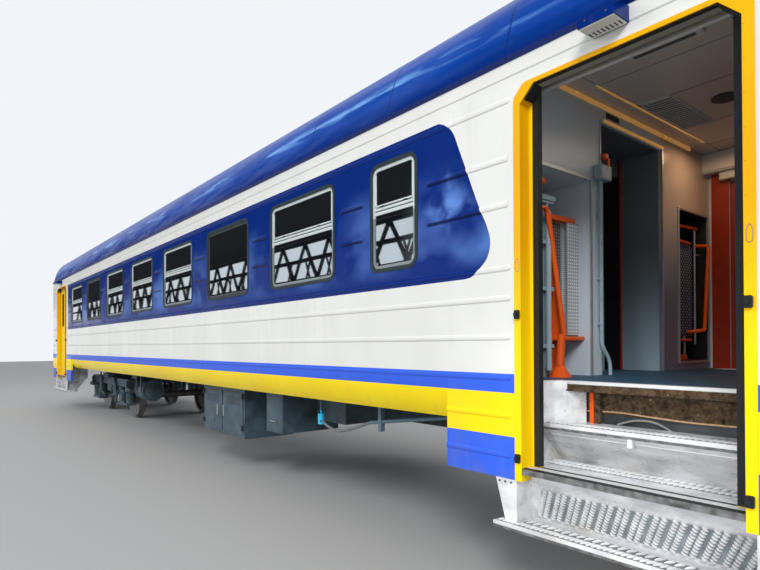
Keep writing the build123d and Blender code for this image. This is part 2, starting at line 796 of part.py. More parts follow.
with BuildPart() as front_partition:
    add(partition(partition_x, passage_low_y, passage_high_y, passage_top_z).part)
    for low_y, high_y, low_z, high_z in (
        (recess_shell - room_half, recess_edge_y, floor_z, recess_top_z),
        (niche_low_y, room_half - recess_shell, niche_low_z, niche_top_z),
    ):
        with Locations((partition_x, (low_y + high_y) / 2, (low_z + high_z) / 2)):
            Box(2 * lining, high_y - low_y, high_z - low_z, mode=Mode.SUBTRACT)
save(front_partition, "front_partition")
save(partition(bulkhead_x, -cab_door_half, cab_door_half, cab_door_top_z), "cab_bulkhead")
save(partition(rear_partition_x, -rear_passage_half, rear_passage_half, passage_top_z), "rear_partition")

# Recess for the wheelchair lift and niche for the folded seats, both behind the front partition
with BuildPart() as vestibule_recesses:
    with Locations((partition_x, -room_half, floor_z)):
        Box(recess_depth, room_half + recess_edge_y + recess_shell, recess_top_z + recess_shell - floor_z,
            align=(Align.MAX, Align.MIN, Align.MIN))
    with Locations((partition_x, recess_shell - room_half, floor_z)):
        Box(recess_depth - recess_shell, room_half + recess_edge_y - recess_shell, recess_top_z - floor_z,
            align=(Align.MAX, Align.MIN, Align.MIN), mode=Mode.SUBTRACT)
    with Locations((partition_x, niche_low_y - recess_shell, niche_low_z - recess_shell)):
        Box(niche_depth, niche_width + recess_shell, niche_height + 2 * recess_shell,
            align=(Align.MAX, Align.MIN, Align.MIN))
    with Locations((partition_x, niche_low_y, niche_low_z)):
        Box(niche_depth - recess_shell, niche_width - recess_shell, niche_height,
            align=(Align.MAX, Align.MIN, Align.MIN), mode=Mode.SUBTRACT)
    with Locations((partition_x - lining, niche_leg_y, floor_z)):
        Box(niche_depth - 2 * lining, niche_width - 4 * lining, niche_low_z - recess_shell - floor_z,
            align=(Align.MAX, Align.CENTER, Align.MIN))
save(vestibule_recesses, "vestibule_recesses")

# Folded wheelchair lift in its recess: mast, arms, upright platform and foot
lift_x = partition_x - 150
mast_y = -1040
mast_width = 120
arm_thick = 36
platform_low_z = 1650 + flange_depth
platform_high_z = 2560 + flange_depth
platform_span = (-960, -680)
lift_arms = [
    # height, from, to
    (2600 + flange_depth, -1200, -1010),
    (2560 + flange_depth, -1010, -650),
    (1640 + flange_depth, -1010, -650),
]
with BuildPart() as wheelchair_lift:
    with BuildSketch(Plane.YZ.offset(lift_x)):
        with Locations((mast_y, (floor_z + lift_arms[0][0]) / 2)):
            Rectangle(mast_width, lift_arms[0][0] - floor_z)
        for height, low_y, high_y in lift_arms:
            with Locations(((low_y + high_y) / 2, height)):
                Rectangle(high_y - low_y, arm_thick)
        with BuildLine():
            Polyline((mast_y - 20, 2590 + flange_depth), (mast_y + 20, 2590 + flange_depth),
                     (-850, platform_low_z), (-890, platform_low_z), close=True)
        make_face()
        with BuildLine():
            Polyline((-880, platform_low_z), (-840, platform_low_z), (-830, floor_z + 90),
                     (-760, floor_z), (-940, floor_z), (-890, floor_z + 90), close=True)
        make_face()
    extrude(amount=2 * arm_thick)
    with BuildSketch(Plane.YZ.offset(lift_x)):
        with Locations((sum(platform_span) / 2, (platform_low_z + platform_high_z) / 2)):
            Rectangle(platform_span[1] - platform_span[0], platform_high_z - platform_low_z)
    extrude(amount=recess_shell)
save(wheelchair_lift, "wheelchair_lift")

# Seats: benches back to back on pedestals along both sides of the aisle, and the driver's seat
seat_depth = 480
seat_height = 430
cushion_thick = 110
seat_width = 1000
back_height = 1050
back_thick = 90
pedestal = 200
driver_seat_x = mask_x - 1250
driver_seat_y = -450


def bench_outline(middle, ahead, behind):
    Polyline((middle - pedestal / 2, floor_z), (middle - pedestal / 2, floor_z + seat_height - cushion_thick),
             (middle - behind, floor_z + seat_height - cushion_thick),
             (middle - behind, floor_z + seat_height), (middle - back_thick, floor_z + seat_height),
             (middle - back_thick / 2, floor_z + back_height),
             (middle + back_thick / 2, floor_z + back_height),
             (middle + back_thick, floor_z + seat_height), (middle + ahead, floor_z + seat_height),
             (middle + ahead, floor_z + seat_height - cushion_thick),
             (middle + pedestal / 2, floor_z + seat_height - cushion_thick),
             (middle + pedestal / 2, floor_z), close=True)


bench_reach = seat_depth + back_thick
with BuildPart() as seats:
    with BuildSketch(Plane.XZ.offset(floor_half)):
        for index in range(wide_count - 1):
            with BuildLine():
                bench_outline(first_wide_x - (index + 0.5) * window_pitch, bench_reach, bench_reach)
            make_face()
    extrude(amount=-seat_width)
    mirror(about=Plane.XZ)
    with BuildSketch(Plane.XZ.offset(seat_depth / 2 - driver_seat_y)):
        with BuildLine():
            bench_outline(driver_seat_x, bench_reach, back_thick + fit)
        make_face()
    extrude(amount=-seat_depth)
save(seats, "seats")

# Driver's desk with its sloping top
desk_half = 1150
with BuildPart() as driver_desk:
    with BuildSketch(Plane.XZ.offset(desk_half)):
        with BuildLine():
            Polyline((mask_x, floor_z), (mask_x, floor_z + 1050), (mask_x - 240, floor_z + 1010),
                     (mask_x - 600, floor_z + 800), (mask_x - 620, floor_z + 740),
                     (mask_x - 300, floor_z + 700), (mask_x - 300, floor_z), close=True)
        make_face()
    extrude(amount=-2 * desk_half)
save(driver_desk, "driver_desk")

# Boxes under the floor, those of the right side first
box_table = [
    # from, to, outer face, inner face, bottom
    (nose_x - 8600, nose_x - 8040, -1100, -300, 750),
    (nose_x - 9140, nose_x - 8760, -1460, -700, 600),
    (-4000, -2600, half_width - 240, 600, 480),
    (nose_x - 9500, nose_x - 8100, half_width - 290, 750, 520),
]
battery_x = nose_x - 10390
battery_low_z = 420 + flange_depth
battery_face_y = half_width - 280
battery_door = 600
door_proud = 10
with BuildPart() as battery_box:
    with Locations((battery_x, -battery_face_y, battery_low_z)):
        Box(1320, 690, sole_z - battery_low_z, align=(Align.CENTER, Align.MIN, Align.MIN))
    for way in (-1, 1):
        with Locations((battery_x + way * (battery_door / 2 + 20), -battery_face_y, battery_low_z + 50)):
            Box(battery_door, door_proud, sole_z - battery_low_z - 130,
                align=(Align.CENTER, Align.MAX, Align.MIN))
save(battery_box, "battery_box")

with BuildPart() as equipment_boxes:
    for low, high, outer, inner, bottom in box_table:
        with Locations(((low + high) / 2, (outer + inner) / 2, bottom + flange_depth)):
            Box(high - low, abs(outer - inner), sole_z - bottom - flange_depth,
                align=(Align.CENTER, Align.CENTER, Align.MIN))
save(equipment_boxes, "equipment_boxes")

# Air reservoirs along the left side and the brake pipes along the underframe
reservoir_radius = 190
reservoir_length = 1200
reservoir_y = half_width - 590
pipe_radius = 20
pipe_rear_x = rear_x + 5300
pipe_front_x = nose_x - 5700
with BuildPart() as air_reservoirs:
    for place in (-1400, nose_x - 7050):
        with BuildSketch(Plane.YZ.offset(place - reservoir_length / 2)):
            with Locations((reservoir_y, sole_z - reservoir_radius)):
                Circle(reservoir_radius)
        extrude(amount=reservoir_length)
    fillet(air_reservoirs.edges().filter_by(GeomType.CIRCLE), 60)
    for across in (-120, 450):
        with BuildSketch(Plane.YZ.offset(pipe_rear_x)):
            with Locations((across, sole_z - pipe_radius)):
                Circle(pipe_radius)
        extrude(amount=pipe_front_x - pipe_rear_x)
save(air_reservoirs, "air_reservoirs")

# Hanging hose under the right side, from a coupling on a rod to the end of a pipe
hose_y = -1450
hanger_x = nose_x - 7980
bracket_x = nose_x - 7000
pipe_end_x = nose_x - 6140
hanger_rod = 9
coupling_radius = 32
coupling_low_z = 800 + flange_depth
coupling_high_z = 905 + flange_depth
feed_low = (nose_x - 7160, 897 + flange_depth)
feed_high = (pipe_end_x, 1041 + flange_depth)
feed_radius = 17
hose_radius = 14
hose_points = [(hanger_x + coupling_radius - 8, coupling_low_z + 30), (hanger_x + 150, 772 + flange_depth),
               (hanger_x + 280, 757 + flange_depth), (hanger_x + 410, 772 + flange_depth),
               (hanger_x + 640, 838 + flange_depth), feed_low]
with BuildPart() as brake_hose:
    with BuildLine(Plane.XZ.offset(-hose_y)) as hose_route:
        Spline(*hose_points, tangents=((1, -0.35), (feed_high[0] - feed_low[0], feed_high[1] - feed_low[1])))
    with BuildSketch(Plane(origin=hose_route.line @ 0, z_dir=hose_route.line % 0)):
        Circle(hose_radius)
    sweep()
save(brake_hose, "brake_hose")

with BuildPart() as hose_fittings:
    with Locations((hanger_x, hose_y, coupling_high_z - 1)):
        Cylinder(hanger_rod, sole_z - coupling_high_z + 1, align=(Align.CENTER, Align.CENTER, Align.MIN))
    with Locations((hanger_x, hose_y, coupling_low_z)):
        Cylinder(coupling_radius, coupling_high_z - coupling_low_z,
                 align=(Align.CENTER, Align.CENTER, Align.MIN))
    with BuildLine(Plane.XZ.offset(-hose_y)):
        Line(feed_low, feed_high)
    slope = Plane(origin=(feed_low[0], hose_y, feed_low[1]),
                  z_dir=(feed_high[0] - feed_low[0], 0, feed_high[1] - feed_low[1]))
    with BuildSketch(slope):
        Circle(feed_radius)
    sweep()
    add(brake_hose.part, mode=Mode.SUBTRACT)
    for place, low_z in ((bracket_x, 835 + flange_depth), (pipe_end_x, feed_high[1] - feed_radius)):
        with Locations((place, hose_y, low_z)):
            Box(40, 2 * feed_radius + 12, sole_z - low_z, align=(Align.CENTER, Align.CENTER, Align.MIN))
save(hose_fittings, "hose_fittings")

# Couplers on both ends
coupler_z = 1060
coupler_reach = 560
coupler_plan = [(0, -150), (140, -190), (230, -150), (330, -140), (330, 30), (210, 60),
                (230, 150), (140, 200), (0, 150)]
shank = 130
shank_height = 208


def coupler(place, root, way):
    with BuildPart() as piece:
        with BuildSketch(Plane.XY.offset(coupler_z - 150)):
            with BuildLine():
                Polyline(*[(place + way * (coupler_reach - 330 + x), way * y) for x, y in coupler_plan],
                         close=True)
            make_face()
        extrude(amount=300)
        with Locations(((root + place + way * (coupler_reach - 330)) / 2, 0, coupler_z)):
            Box(abs(place + way * (coupler_reach - 330) - root), shank, shank_height)
    return piece


save(coupler(nose_x, underframe_front, 1), "coupler_front")
save(coupler(rear_x, rear_x, -1), "coupler_rear")

# Bogies and wheelsets
beam_z = 700 + flange_depth
beam_height = 170
beam_width = 170
beam_half = 1650
bolster_half = 1180
transom_half = 330
axle_z = wheel_radius + flange_depth
axle_radius = 75
journal_radius = 65
box_width = 300
box_height = 300
box_depth = 190
cap_thick = 30
journal_end = journal_y + box_depth / 2 - cap_thick - 5
spring_radius = 85
spring_offset = 300
wing_z = axle_z - 160
wing_thick = 50

# Brake gear: a hanger below the transom with an arm and a shoe facing each wheel
shoe_gap = 8
shoe_thick = 50
shoe_angle = 20
shoe_width = 84
shoe_y = gauge_half + rim_width / 2 + 18
shoe_face = wheel_radius + shoe_gap
arm_height = 90
hanger_width = 110
hanger_low_z = axle_z - 65

for name, middle in zip(bogie_names, pivot_x):
    with BuildPart() as bogie_frame:
        with BuildSketch(Plane.XY.offset(beam_z)):
            for side in (-1, 1):
                with Locations((middle, side * journal_y)):
                    Rectangle(2 * beam_half, beam_width)
            with Locations((middle, 0)):
                Rectangle(2 * transom_half, 2 * journal_y)
        extrude(amount=beam_height)
        with Locations((middle, 0, beam_z + beam_height)):
            Box(2 * transom_half * 0.7, 2 * bolster_half, 100, align=(Align.CENTER, Align.CENTER, Align.MIN))
            Cylinder(220, sole_z - beam_z - beam_height, align=(Align.CENTER, Align.CENTER, Align.MIN))
        for side in (-1, 1):
            for end in (-1, 1):
                place = middle + end * rail_half
                start = (180 if end > 0 else 0) - shoe_angle
                near_x = middle + end * (transom_half - hanger_width)
                far_x = place - end * (shoe_face + shoe_thick / 2)
                with BuildSketch(Plane.XZ.offset(-side * shoe_y - shoe_width / 2)):
                    with BuildLine():
                        inner_arc = CenterArc((place, axle_z), shoe_face, start, 2 * shoe_angle)
                        outer_arc = CenterArc((place, axle_z), shoe_face + shoe_thick, start, 2 * shoe_angle)
                        Line(inner_arc @ 0, outer_arc @ 0)
                        Line(inner_arc @ 1, outer_arc @ 1)
                    make_face()
                    with Locations(((near_x + far_x) / 2, axle_z - 20)):
                        Rectangle(abs(far_x - near_x), arm_height)
                    with Locations((near_x + end * hanger_width / 2, (hanger_low_z + beam_z) / 2)):
                        Rectangle(hanger_width, beam_z - hanger_low_z)
                extrude(amount=shoe_width)
    save(bogie_frame, "bogie_" + name + "_frame")

    with BuildPart() as axle_boxes:
        for end in (-1, 1):
            for side in (-1, 1):
                place = middle + end * rail_half
                outer = journal_y + box_depth / 2
                with BuildSketch(Plane.XZ.offset(-side * outer)):
                    with Locations((place, axle_z)):
                        RectangleRounded(box_width, box_height, 60)
                        with Locations((0, wing_z - axle_z)):
                            Rectangle(2 * spring_offset + 2 * spring_radius, wing_thick)
                extrude(amount=side * box_depth)
                with BuildSketch(Plane.XZ.offset(-side * (outer - cap_thick))):
                    with Locations((place, axle_z)):
                        Circle(journal_radius + 1)
                extrude(amount=side * box_depth, mode=Mode.SUBTRACT)
                with BuildSketch(Plane.XY.offset(wing_z + wing_thick / 2)):
                    for way in (-1, 1):
                        with Locations((place + way * spring_offset, side * journal_y)):
                            Circle(spring_radius - 5)
                extrude(amount=beam_z - wing_z - wing_thick / 2)
    save(axle_boxes, "bogie_" + name + "_axle_boxes")

    for end, label in ((-1, "aft"), (1, "fore")):
        place = middle + end * rail_half
        with BuildPart() as wheelset:
            with BuildSketch(Plane.YZ.offset(place)):
                with BuildLine():
                    Polyline((0, axle_z), (0, axle_z + axle_radius),
                             (gauge_half - 40, axle_z + axle_radius), (gauge_half - 20, axle_z + 130),
                             (gauge_half + 40, axle_z + 140), (gauge_half + 45, axle_z + wheel_radius - 70),
                             (gauge_half, axle_z + wheel_radius - 60),
                             (gauge_half, axle_z + wheel_radius + 12),
                             (gauge_half + 14, axle_z + wheel_radius + flange_depth),
                             (gauge_half + 34, axle_z + wheel_radius),
                             (gauge_half + rim_width, axle_z + wheel_radius - 6),
                             (gauge_half + rim_width, axle_z + wheel_radius - 60),
                             (gauge_half + 75, axle_z + wheel_radius - 70),
                             (gauge_half + 70, axle_z + 140), (gauge_half + 120, axle_z + 120),
                             (gauge_half + 130, axle_z + journal_radius),
                             (journal_end, axle_z + journal_radius), (journal_end, axle_z),
                             close=True)
                make_face()
            revolve(axis=Axis((place, 0, axle_z), (0, 1, 0)))
            mirror(about=Plane.XZ)
        save(wheelset, "wheelset_" + name + "_" + label)
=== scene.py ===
import math
from functools import partialmethod

import bmesh
import bpy
from mathutils import Matrix, Vector


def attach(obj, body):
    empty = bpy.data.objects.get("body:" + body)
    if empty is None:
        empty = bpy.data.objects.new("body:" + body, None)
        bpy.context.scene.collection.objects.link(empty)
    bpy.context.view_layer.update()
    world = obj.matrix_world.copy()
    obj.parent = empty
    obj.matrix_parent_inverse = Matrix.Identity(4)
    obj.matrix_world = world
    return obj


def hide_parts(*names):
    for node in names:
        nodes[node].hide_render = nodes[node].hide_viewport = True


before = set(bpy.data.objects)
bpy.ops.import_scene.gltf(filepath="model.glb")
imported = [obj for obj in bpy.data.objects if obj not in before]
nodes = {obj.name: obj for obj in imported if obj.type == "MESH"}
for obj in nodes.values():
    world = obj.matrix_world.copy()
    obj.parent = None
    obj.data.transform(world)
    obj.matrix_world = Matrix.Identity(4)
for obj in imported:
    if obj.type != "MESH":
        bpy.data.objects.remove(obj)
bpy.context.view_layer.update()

# Levels and places of the coach in metres, X forward, Z up from the wheel flanges
RAIL = 0.028
HALF = 1.74
FLOOR = 1.36 + RAIL
CEILING = 3.5 + RAIL
BELT = 2.196 + RAIL
HEAD = 3.064 + RAIL
PORTAL_TOP = 3.239 + RAIL
PORTAL_LOW = 0.751 + RAIL
GUTTER = 3.414 + RAIL
SOLE = 1.08 + RAIL
STEP = 0.477 + RAIL
SILL = 0.83 + RAIL
TREAD = 1.092 + RAIL
REAR = -10.75
NOSE = 10.75
MASK = NOSE - 1.0
PARTITION = REAR + 16.04
SIDES = (-1, 1)

# Doorways, and the leaves that slide in them
DOOR_HALF = 1.325 / 2
FRAME_FACE = 0.05
REACH = DOOR_HALF - FRAME_FACE
FRONT_DOOR = REAR + 16.8505
REAR_DOOR = REAR + 1.26
DOORS = (("front_right", FRONT_DOOR, -1), ("front_left", FRONT_DOOR, 1), ("rear_right", REAR_DOOR, -1),
         ("rear_left", REAR_DOOR, 1))
OPEN_DOOR = "front_right"
LEAF_WIDTH = REACH + 0.014
LEAF_TRAVEL = 0.545
LEAF_Y = 1.629
LEAF_PANE_LOW = 2.17
LEAF_PANE_TOP = 3.04

# Windows, as middle along X and width, and the ribs pressed into the walls, as heights above the rail
WINDOW_PITCH = 1.734
WINDOWS = [(REAR + 15.01, 0.56)] + [(REAR + 13.595 - i * WINDOW_PITCH, 1.2) for i in range(7)]
WINDOWS.append((NOSE - 2.17, 0.62))
FIXED_WINDOWS = (2, 6)
VENT_RAIL = HEAD - 0.45 * (HEAD - BELT)
DOOR_RIBS = (1.391, 1.647, 1.894, 2.086, 0.9, 1.15, 3.147)
PIER_RIBS = (2.49, 2.78)

# Running gear
BOGIES = (("front", NOSE - 3.7), ("rear", REAR + 3.55))
AXLE_REACH = 1.2
AXLE_Z = 0.503

# The paint scheme: bands by height, with a slanted end to the blue band near the front doorway
BAND_TOP = 3.187 + RAIL
BAND_LOW = 2.046 + RAIL
STRIPE_TOP = 1.414 + RAIL
STRIPE_LOW = 1.293 + RAIL
SKIRT_LINE = 1.018 + RAIL
BAND_REAR = REAR + 2.11
BAND_EDGE = (
    # height above the rail, X of the band's front edge
    (2.046, 5.02), (2.06, 5.09), (2.105, 5.154), (2.193, 5.23), (2.277, 5.245), (2.357, 5.225),
    (2.505, 5.156), (2.801, 5.034), (2.981, 4.96), (3.075, 4.919), (3.138, 4.863), (3.187, 4.774),
)

# Colours, as linear values
BLUE = (0.0005, 0.019, 0.165)
WHITE = (0.72, 0.72, 0.69)
YELLOW = (0.98, 0.76, 0.004)
ORANGE = (0.78, 0.1, 0.008)
LEAF_INSIDE = (0.3, 0.028, 0.01)

# Camera at the photograph's place
CAMERA_PLACE = (7.67, -4.62, 1.592 + RAIL)
CAMERA_YAW = math.radians(38.85)
CAMERA_PITCH = math.radians(0.467)
CAMERA_ROLL = math.radians(-0.211)


def show(name, data, body=None):
    piece = bpy.data.objects.new(name, data)
    bpy.context.scene.collection.objects.link(piece)
    if body:
        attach(piece, body)
    return piece


def make_camera():
    data = bpy.data.cameras.new("camera")
    data.sensor_width = 36
    data.lens = 26.85
    data.shift_y = 0.0744
    data.clip_end = 200
    level = math.cos(CAMERA_PITCH)
    ahead = Vector((-math.cos(CAMERA_YAW) * level, math.sin(CAMERA_YAW) * level, math.sin(CAMERA_PITCH)))
    right = Vector((math.sin(CAMERA_YAW), math.cos(CAMERA_YAW), 0))
    up = right.cross(ahead)
    right_rolled = right * math.cos(CAMERA_ROLL) + up * math.sin(CAMERA_ROLL)
    up_rolled = up * math.cos(CAMERA_ROLL) - right * math.sin(CAMERA_ROLL)
    turn = Matrix((right_rolled, up_rolled, -ahead)).transposed().to_4x4()
    camera = show("camera", data)
    camera.matrix_world = Matrix.Translation(CAMERA_PLACE) @ turn
    bpy.context.scene.camera = camera


# A lamp shines straight down, or at a target; the aimed ones leave no glint
def make_lamp(name, kind, where, power, target=None, **settings):
    data = bpy.data.lights.new(name, kind)
    data.energy = power
    for key, value in settings.items():
        setattr(data, key, value)
    lamp = show(name, data)
    lamp.location = where
    if target:
        lamp.visible_glossy = False
        lamp.rotation_euler = (Vector(target) - lamp.location).to_track_quat("-Z", "Y").to_euler()


def make_lights():
    for where, power, target, size in (((16, -14, 13), 2800, (2, 0, 2), 7),
                                       ((-10, -16, 9), 1300, (-3, 0, 2), 9),
                                       ((4, 15, 10), 900, (0, 0, 2), 9)):
        make_lamp("lamp", "AREA", where, power, target, size=size)
    white = (1, 0.95, 0.88)
    for x, y, drop, power, size, colour in ((6.35, 0.2, 0.03, 5, 0.9, (1, 0.82, 0.66)),
                                            (5.65, 0.95, 0.06, 4, 0.3, (1, 0.58, 0.3)),
                                            (REAR_DOOR, 0, 0.03, 6, 0.8, white),
                                            (MASK - 1.0, 0, 0.03, 5, 0.8, white)):
        make_lamp("room_lamp", "AREA", (x, y, CEILING - drop), power, size=size, color=colour)
    make_lamp("step_lamp", "SPOT", (6.9, -6.6, 2.0), 620, (6.1, -1.45, 0.95), spot_size=math.radians(26),
              spot_blend=0.8, shadow_soft_size=0.6)


# The scene's own materials by name, since the part brings some of the same names
MATERIALS = {}


# Node helpers for materials and the sky; a value may be a number, a colour or another node's output
class Nodes:
    def __init__(self, name, owner=None, shader="Principled BSDF"):
        if not owner:
            owner = MATERIALS[name] = bpy.data.materials.new(name)
        owner.use_nodes = True
        self.tree = owner.node_tree
        self.shader = self.tree.nodes[shader]
        self.place = self.add("ShaderNodeTexCoord").outputs["Object"]
        self.x, self.y, self.z = self.add("ShaderNodeSeparateXYZ", self.place).outputs

    # A new node, with values for its first inputs
    def add(self, kind, *values, **settings):
        node = self.tree.nodes.new(kind)
        for key, value in settings.items():
            setattr(node, key, value)
        for value, target in zip(values, node.inputs):
            self.link(value, target)
        return node

    def link(self, value, target):
        if isinstance(value, bpy.types.NodeSocket):
            self.tree.links.new(value, target)
        else:
            target.default_value = (*value, 1) if target.type == "RGBA" else value

    def math(self, operation, a, b=0.0):
        return self.add("ShaderNodeMath", a, b, operation=operation).outputs[0]

    plus = partialmethod(math, "ADD")
    minus = partialmethod(math, "SUBTRACT")
    times = partialmethod(math, "MULTIPLY")
    above = partialmethod(math, "GREATER_THAN")
    below = partialmethod(math, "LESS_THAN")
    either = partialmethod(math, "MAXIMUM")

    def gap(self, a, b):
        return self.math("ABSOLUTE", self.minus(a, b))

    def weave(self, a, b, turns):
        return self.times(self.math("SINE", self.times(a, turns)), self.math("SINE", self.times(b, turns)))

    def diamonds(self, turns):
        return self.weave(self.plus(self.y, self.z), self.minus(self.y, self.z), turns)

    def noise(self, scale, detail=3.0, stretch=(1, 1, 1), rough=0.5):
        mapping = self.add("ShaderNodeMapping", self.place)
        mapping.inputs["Scale"].default_value = stretch
        node = self.add("ShaderNodeTexNoise", mapping.outputs[0])
        for key, number in (("Scale", scale), ("Detail", detail), ("Roughness", rough)):
            node.inputs[key].default_value = number
        return node.outputs["Fac"]

    def ramp(self, value, low, high, bottom=0.0, top=1.0):
        return self.add("ShaderNodeMapRange", value, low, high, bottom, top).outputs[0]

    def patches(self, low, high, *noise):
        return self.ramp(self.noise(*noise), low, high)

    def mix(self, share, a, b):
        node = self.add("ShaderNodeMix", share, data_type="RGBA")
        self.link(a, node.inputs[6])
        self.link(b, node.inputs[7])
        return node.outputs[2]

    def bump(self, height, strength, distance=0.01, under=None):
        node = self.add("ShaderNodeBump")
        self.link(height, node.inputs["Height"])
        node.inputs["Strength"].default_value = strength
        node.inputs["Distance"].default_value = distance
        if under is not None:
            self.link(under, node.inputs["Normal"])
        self.link(node.outputs[0], self.shader.inputs["Normal"])
        return node.outputs[0]

    def finish(self, colour, **inputs):
        self.link(colour, self.shader.inputs["Base Color"])
        for key, value in inputs.items():
            self.link(value, self.shader.inputs[key.replace("_", " ")])


def plain(name, colour, rough=0.5, metal=0.0, speckle=0.12, scale=9.0, grain=0.0, **inputs):
    n = Nodes(name)
    noise = n.noise(scale, 5)
    darker = [c * (1 - speckle) for c in colour]
    lighter = [min(1, c * (1 + speckle)) for c in colour]
    if grain:
        n.bump(n.noise(scale * 22, 2), grain, 0.002)
    n.finish(n.mix(n.ramp(noise, 0.3, 0.7), darker, lighter), Metallic=metal,
             Roughness=n.ramp(noise, 0.3, 0.7, rough * 0.85, min(1, rough * 1.15)), **inputs)


# A pale sky, a little brighter to the eye and in reflections than as light
def make_world():
    world = bpy.data.worlds.new("world")
    bpy.context.scene.world = world
    n = Nodes("world", world, "Background")
    rays = n.add("ShaderNodeLightPath").outputs
    seen = n.either(n.either(rays["Is Camera Ray"], rays["Is Glossy Ray"]), rays["Is Transmission Ray"])
    n.link(n.ramp(seen, 0.0, 1.0, 0.8, 0.95), n.shader.inputs["Strength"])
    n.link((0.93, 0.96, 1.0), n.shader.inputs["Color"])


# The X at which the blue band ends, for each height
def band_edge(n):
    curve = n.add("ShaderNodeFloatCurve")
    low, high = BAND_EDGE[0][0] + RAIL, BAND_EDGE[-1][0] + RAIL
    least, most = 4.7, 5.3
    points = curve.mapping.curves[0].points
    spots = [((h + RAIL - low) / (high - low), (x - least) / (most - least)) for h, x in BAND_EDGE]
    points[0].location = spots[0]
    points[1].location = spots[-1]
    for spot in spots[1:-1]:
        points.new(*spot)
    curve.mapping.update()
    n.link(n.ramp(n.z, low, high), curve.inputs["Value"])
    return n.ramp(curve.outputs[0], 0.0, 1.0, least, most)


# Dark line under each rib on the piers between the windows
def rib_shade(n):
    bays = n.times(n.minus(n.x, WINDOWS[7][0] - 4 * WINDOW_PITCH), 1 / WINDOW_PITCH)
    in_pier = n.below(n.gap(n.math("FRACT", bays), 0.5), 0.155 / WINDOW_PITCH)
    in_pier = n.either(in_pier, n.above(n.x, WINDOWS[0][0] + 0.4))
    lines = [n.ramp(n.gap(n.z, height + RAIL - 0.017), 0.016, 0.007) for height in PIER_RIBS]
    return n.times(n.times(in_pier, n.either(*lines)), 0.85)


# Blue paint with painted light: pale patches low in the band as painted reflections, one more ahead of the
# small window, painted shade under the ribs, and brighter in the stripes as painted sunlight
def blue_with_painted_light(n):
    sky_reflection = n.times(n.patches(0.45, 0.62, 1.25, 3, (1, 1, 1.2)), n.ramp(n.z, 2.95, 2.45))
    sky_reflection = n.times(sky_reflection, n.ramp(n.z, BAND_LOW + 0.06, BAND_LOW + 0.2))
    away = n.plus(n.gap(n.x, 4.87), n.times(n.gap(n.z, 2.6), 1.2))
    reflection_patch = n.times(n.ramp(away, 0.34, 0.08), n.patches(0.38, 0.6, 4.5, 3))
    # Pale patches mixed into the blue: painted reflections
    blue = n.mix(n.either(n.times(sky_reflection, 0.65), reflection_patch), BLUE, (0.1, 0.22, 0.6))
    blue = n.mix(rib_shade(n), blue, (0.0002, 0.006, 0.06))
    # Brighter blue low down, in the stripes and skirts: painted sunlight
    return n.mix(n.ramp(n.z, 1.95, 1.5), blue, (0.035, 0.115, 0.7))


# White with faint darker patches, drawn out upright
def upright_patched_white(n):
    return n.mix(n.patches(0.35, 0.75, 1.7, 4, (1, 1, 0.35)), WHITE, (0.66, 0.66, 0.62))


# Body paint, plain blue or with all bands and stripes; its blue holds painted reflections, painted shade
# under the ribs and painted sunlight low down
def paint(name, striped):
    n = Nodes(name)
    colour = blue = blue_with_painted_light(n)
    coat = 0.0
    streak = n.times(n.patches(0.55, 0.85, 5, 4, (2.5, 2.5, 0.16)), 0.14)
    if striped:
        band = n.times(n.above(n.z, BAND_LOW), n.below(n.z, BAND_TOP))
        band = n.times(band, n.times(n.below(n.x, band_edge(n)), n.above(n.x, BAND_REAR)))
        stripe = n.times(n.above(n.z, STRIPE_LOW), n.below(n.z, STRIPE_TOP))
        yellow = n.mix(n.patches(0.35, 0.7, 0.9, 3), YELLOW, (0.93, 0.64, 0.006))
        colour = n.mix(n.below(n.z, STRIPE_LOW), upright_patched_white(n), yellow)
        colour = n.mix(n.either(band, n.either(stripe, n.below(n.z, SKIRT_LINE))), colour, blue)
        coat = n.ramp(band, 0.0, 1.0, 0.2, 0.12)
        streak = n.times(streak, n.minus(1.0, band))
    grime = n.times(n.ramp(n.z, 1.15, 0.75), n.patches(0.45, 0.8, 7, 6))
    colour = n.mix(n.times(grime, 0.4), colour, (0.16, 0.14, 0.12))
    colour = n.mix(streak, colour, (0.3, 0.29, 0.26))
    dents = n.bump(n.noise(0.9, 1, (1, 1, 1.2)), 0.7, 0.05)
    n.bump(n.noise(60, 2), 0.04, 0.002, under=dents)
    n.finish(colour, Roughness=n.ramp(n.noise(3, 4), 0.3, 0.7, 0.15, 0.24), Specular_IOR_Level=0.12,
             Coat_Weight=coat, Coat_Roughness=0.1, Coat_Normal=dents)


# Door posts and heads: yellow, more orange higher up and brighter low down as painted sunlight, white over
# the corners and along the top
def portal_finish():
    n = Nodes("portal_finish")
    along = n.math("MINIMUM", n.gap(n.x, FRONT_DOOR), n.gap(n.x, REAR_DOOR))
    past_corner = n.above(n.plus(along, n.z), PORTAL_TOP + 0.569)
    yellow = n.mix(n.patches(0.35, 0.7, 1.2, 3), (0.88, 0.43, 0.001), (0.8, 0.37, 0.001))
    # Brighter yellow low down: painted sunlight
    yellow = n.mix(n.ramp(n.z, 2.3, 1.6), yellow, (0.93, 0.62, 0.002))
    n.bump(n.noise(3, 2), 0.2, 0.01)
    n.finish(n.mix(n.either(past_corner, n.above(n.z, PORTAL_TOP - 0.023)), yellow, WHITE),
             Roughness=0.35, Specular_IOR_Level=0.25)


# Window frames: dark on the fixed windows, pale with a darker lower half on the others
def window_frame_finish():
    n = Nodes("window_frame_finish")
    upper = n.above(n.z, VENT_RAIL - 0.035)
    opens = n.times(*(n.above(n.gap(n.x, WINDOWS[index][0]), 0.75) for index in FIXED_WINDOWS))
    pale = n.mix(upper, (0.26, 0.3, 0.31), (0.66, 0.72, 0.72))
    n.finish(n.mix(opens, (0.06, 0.075, 0.08), pale), Roughness=0.35, Metallic=0.3)


def cantrail_finish():
    n = Nodes("cantrail_finish")
    n.bump(n.noise(1.35, 2), 0.4, 0.03)
    n.finish(n.mix(n.above(n.z, GUTTER - 0.031), upright_patched_white(n), BLUE), Roughness=0.28)


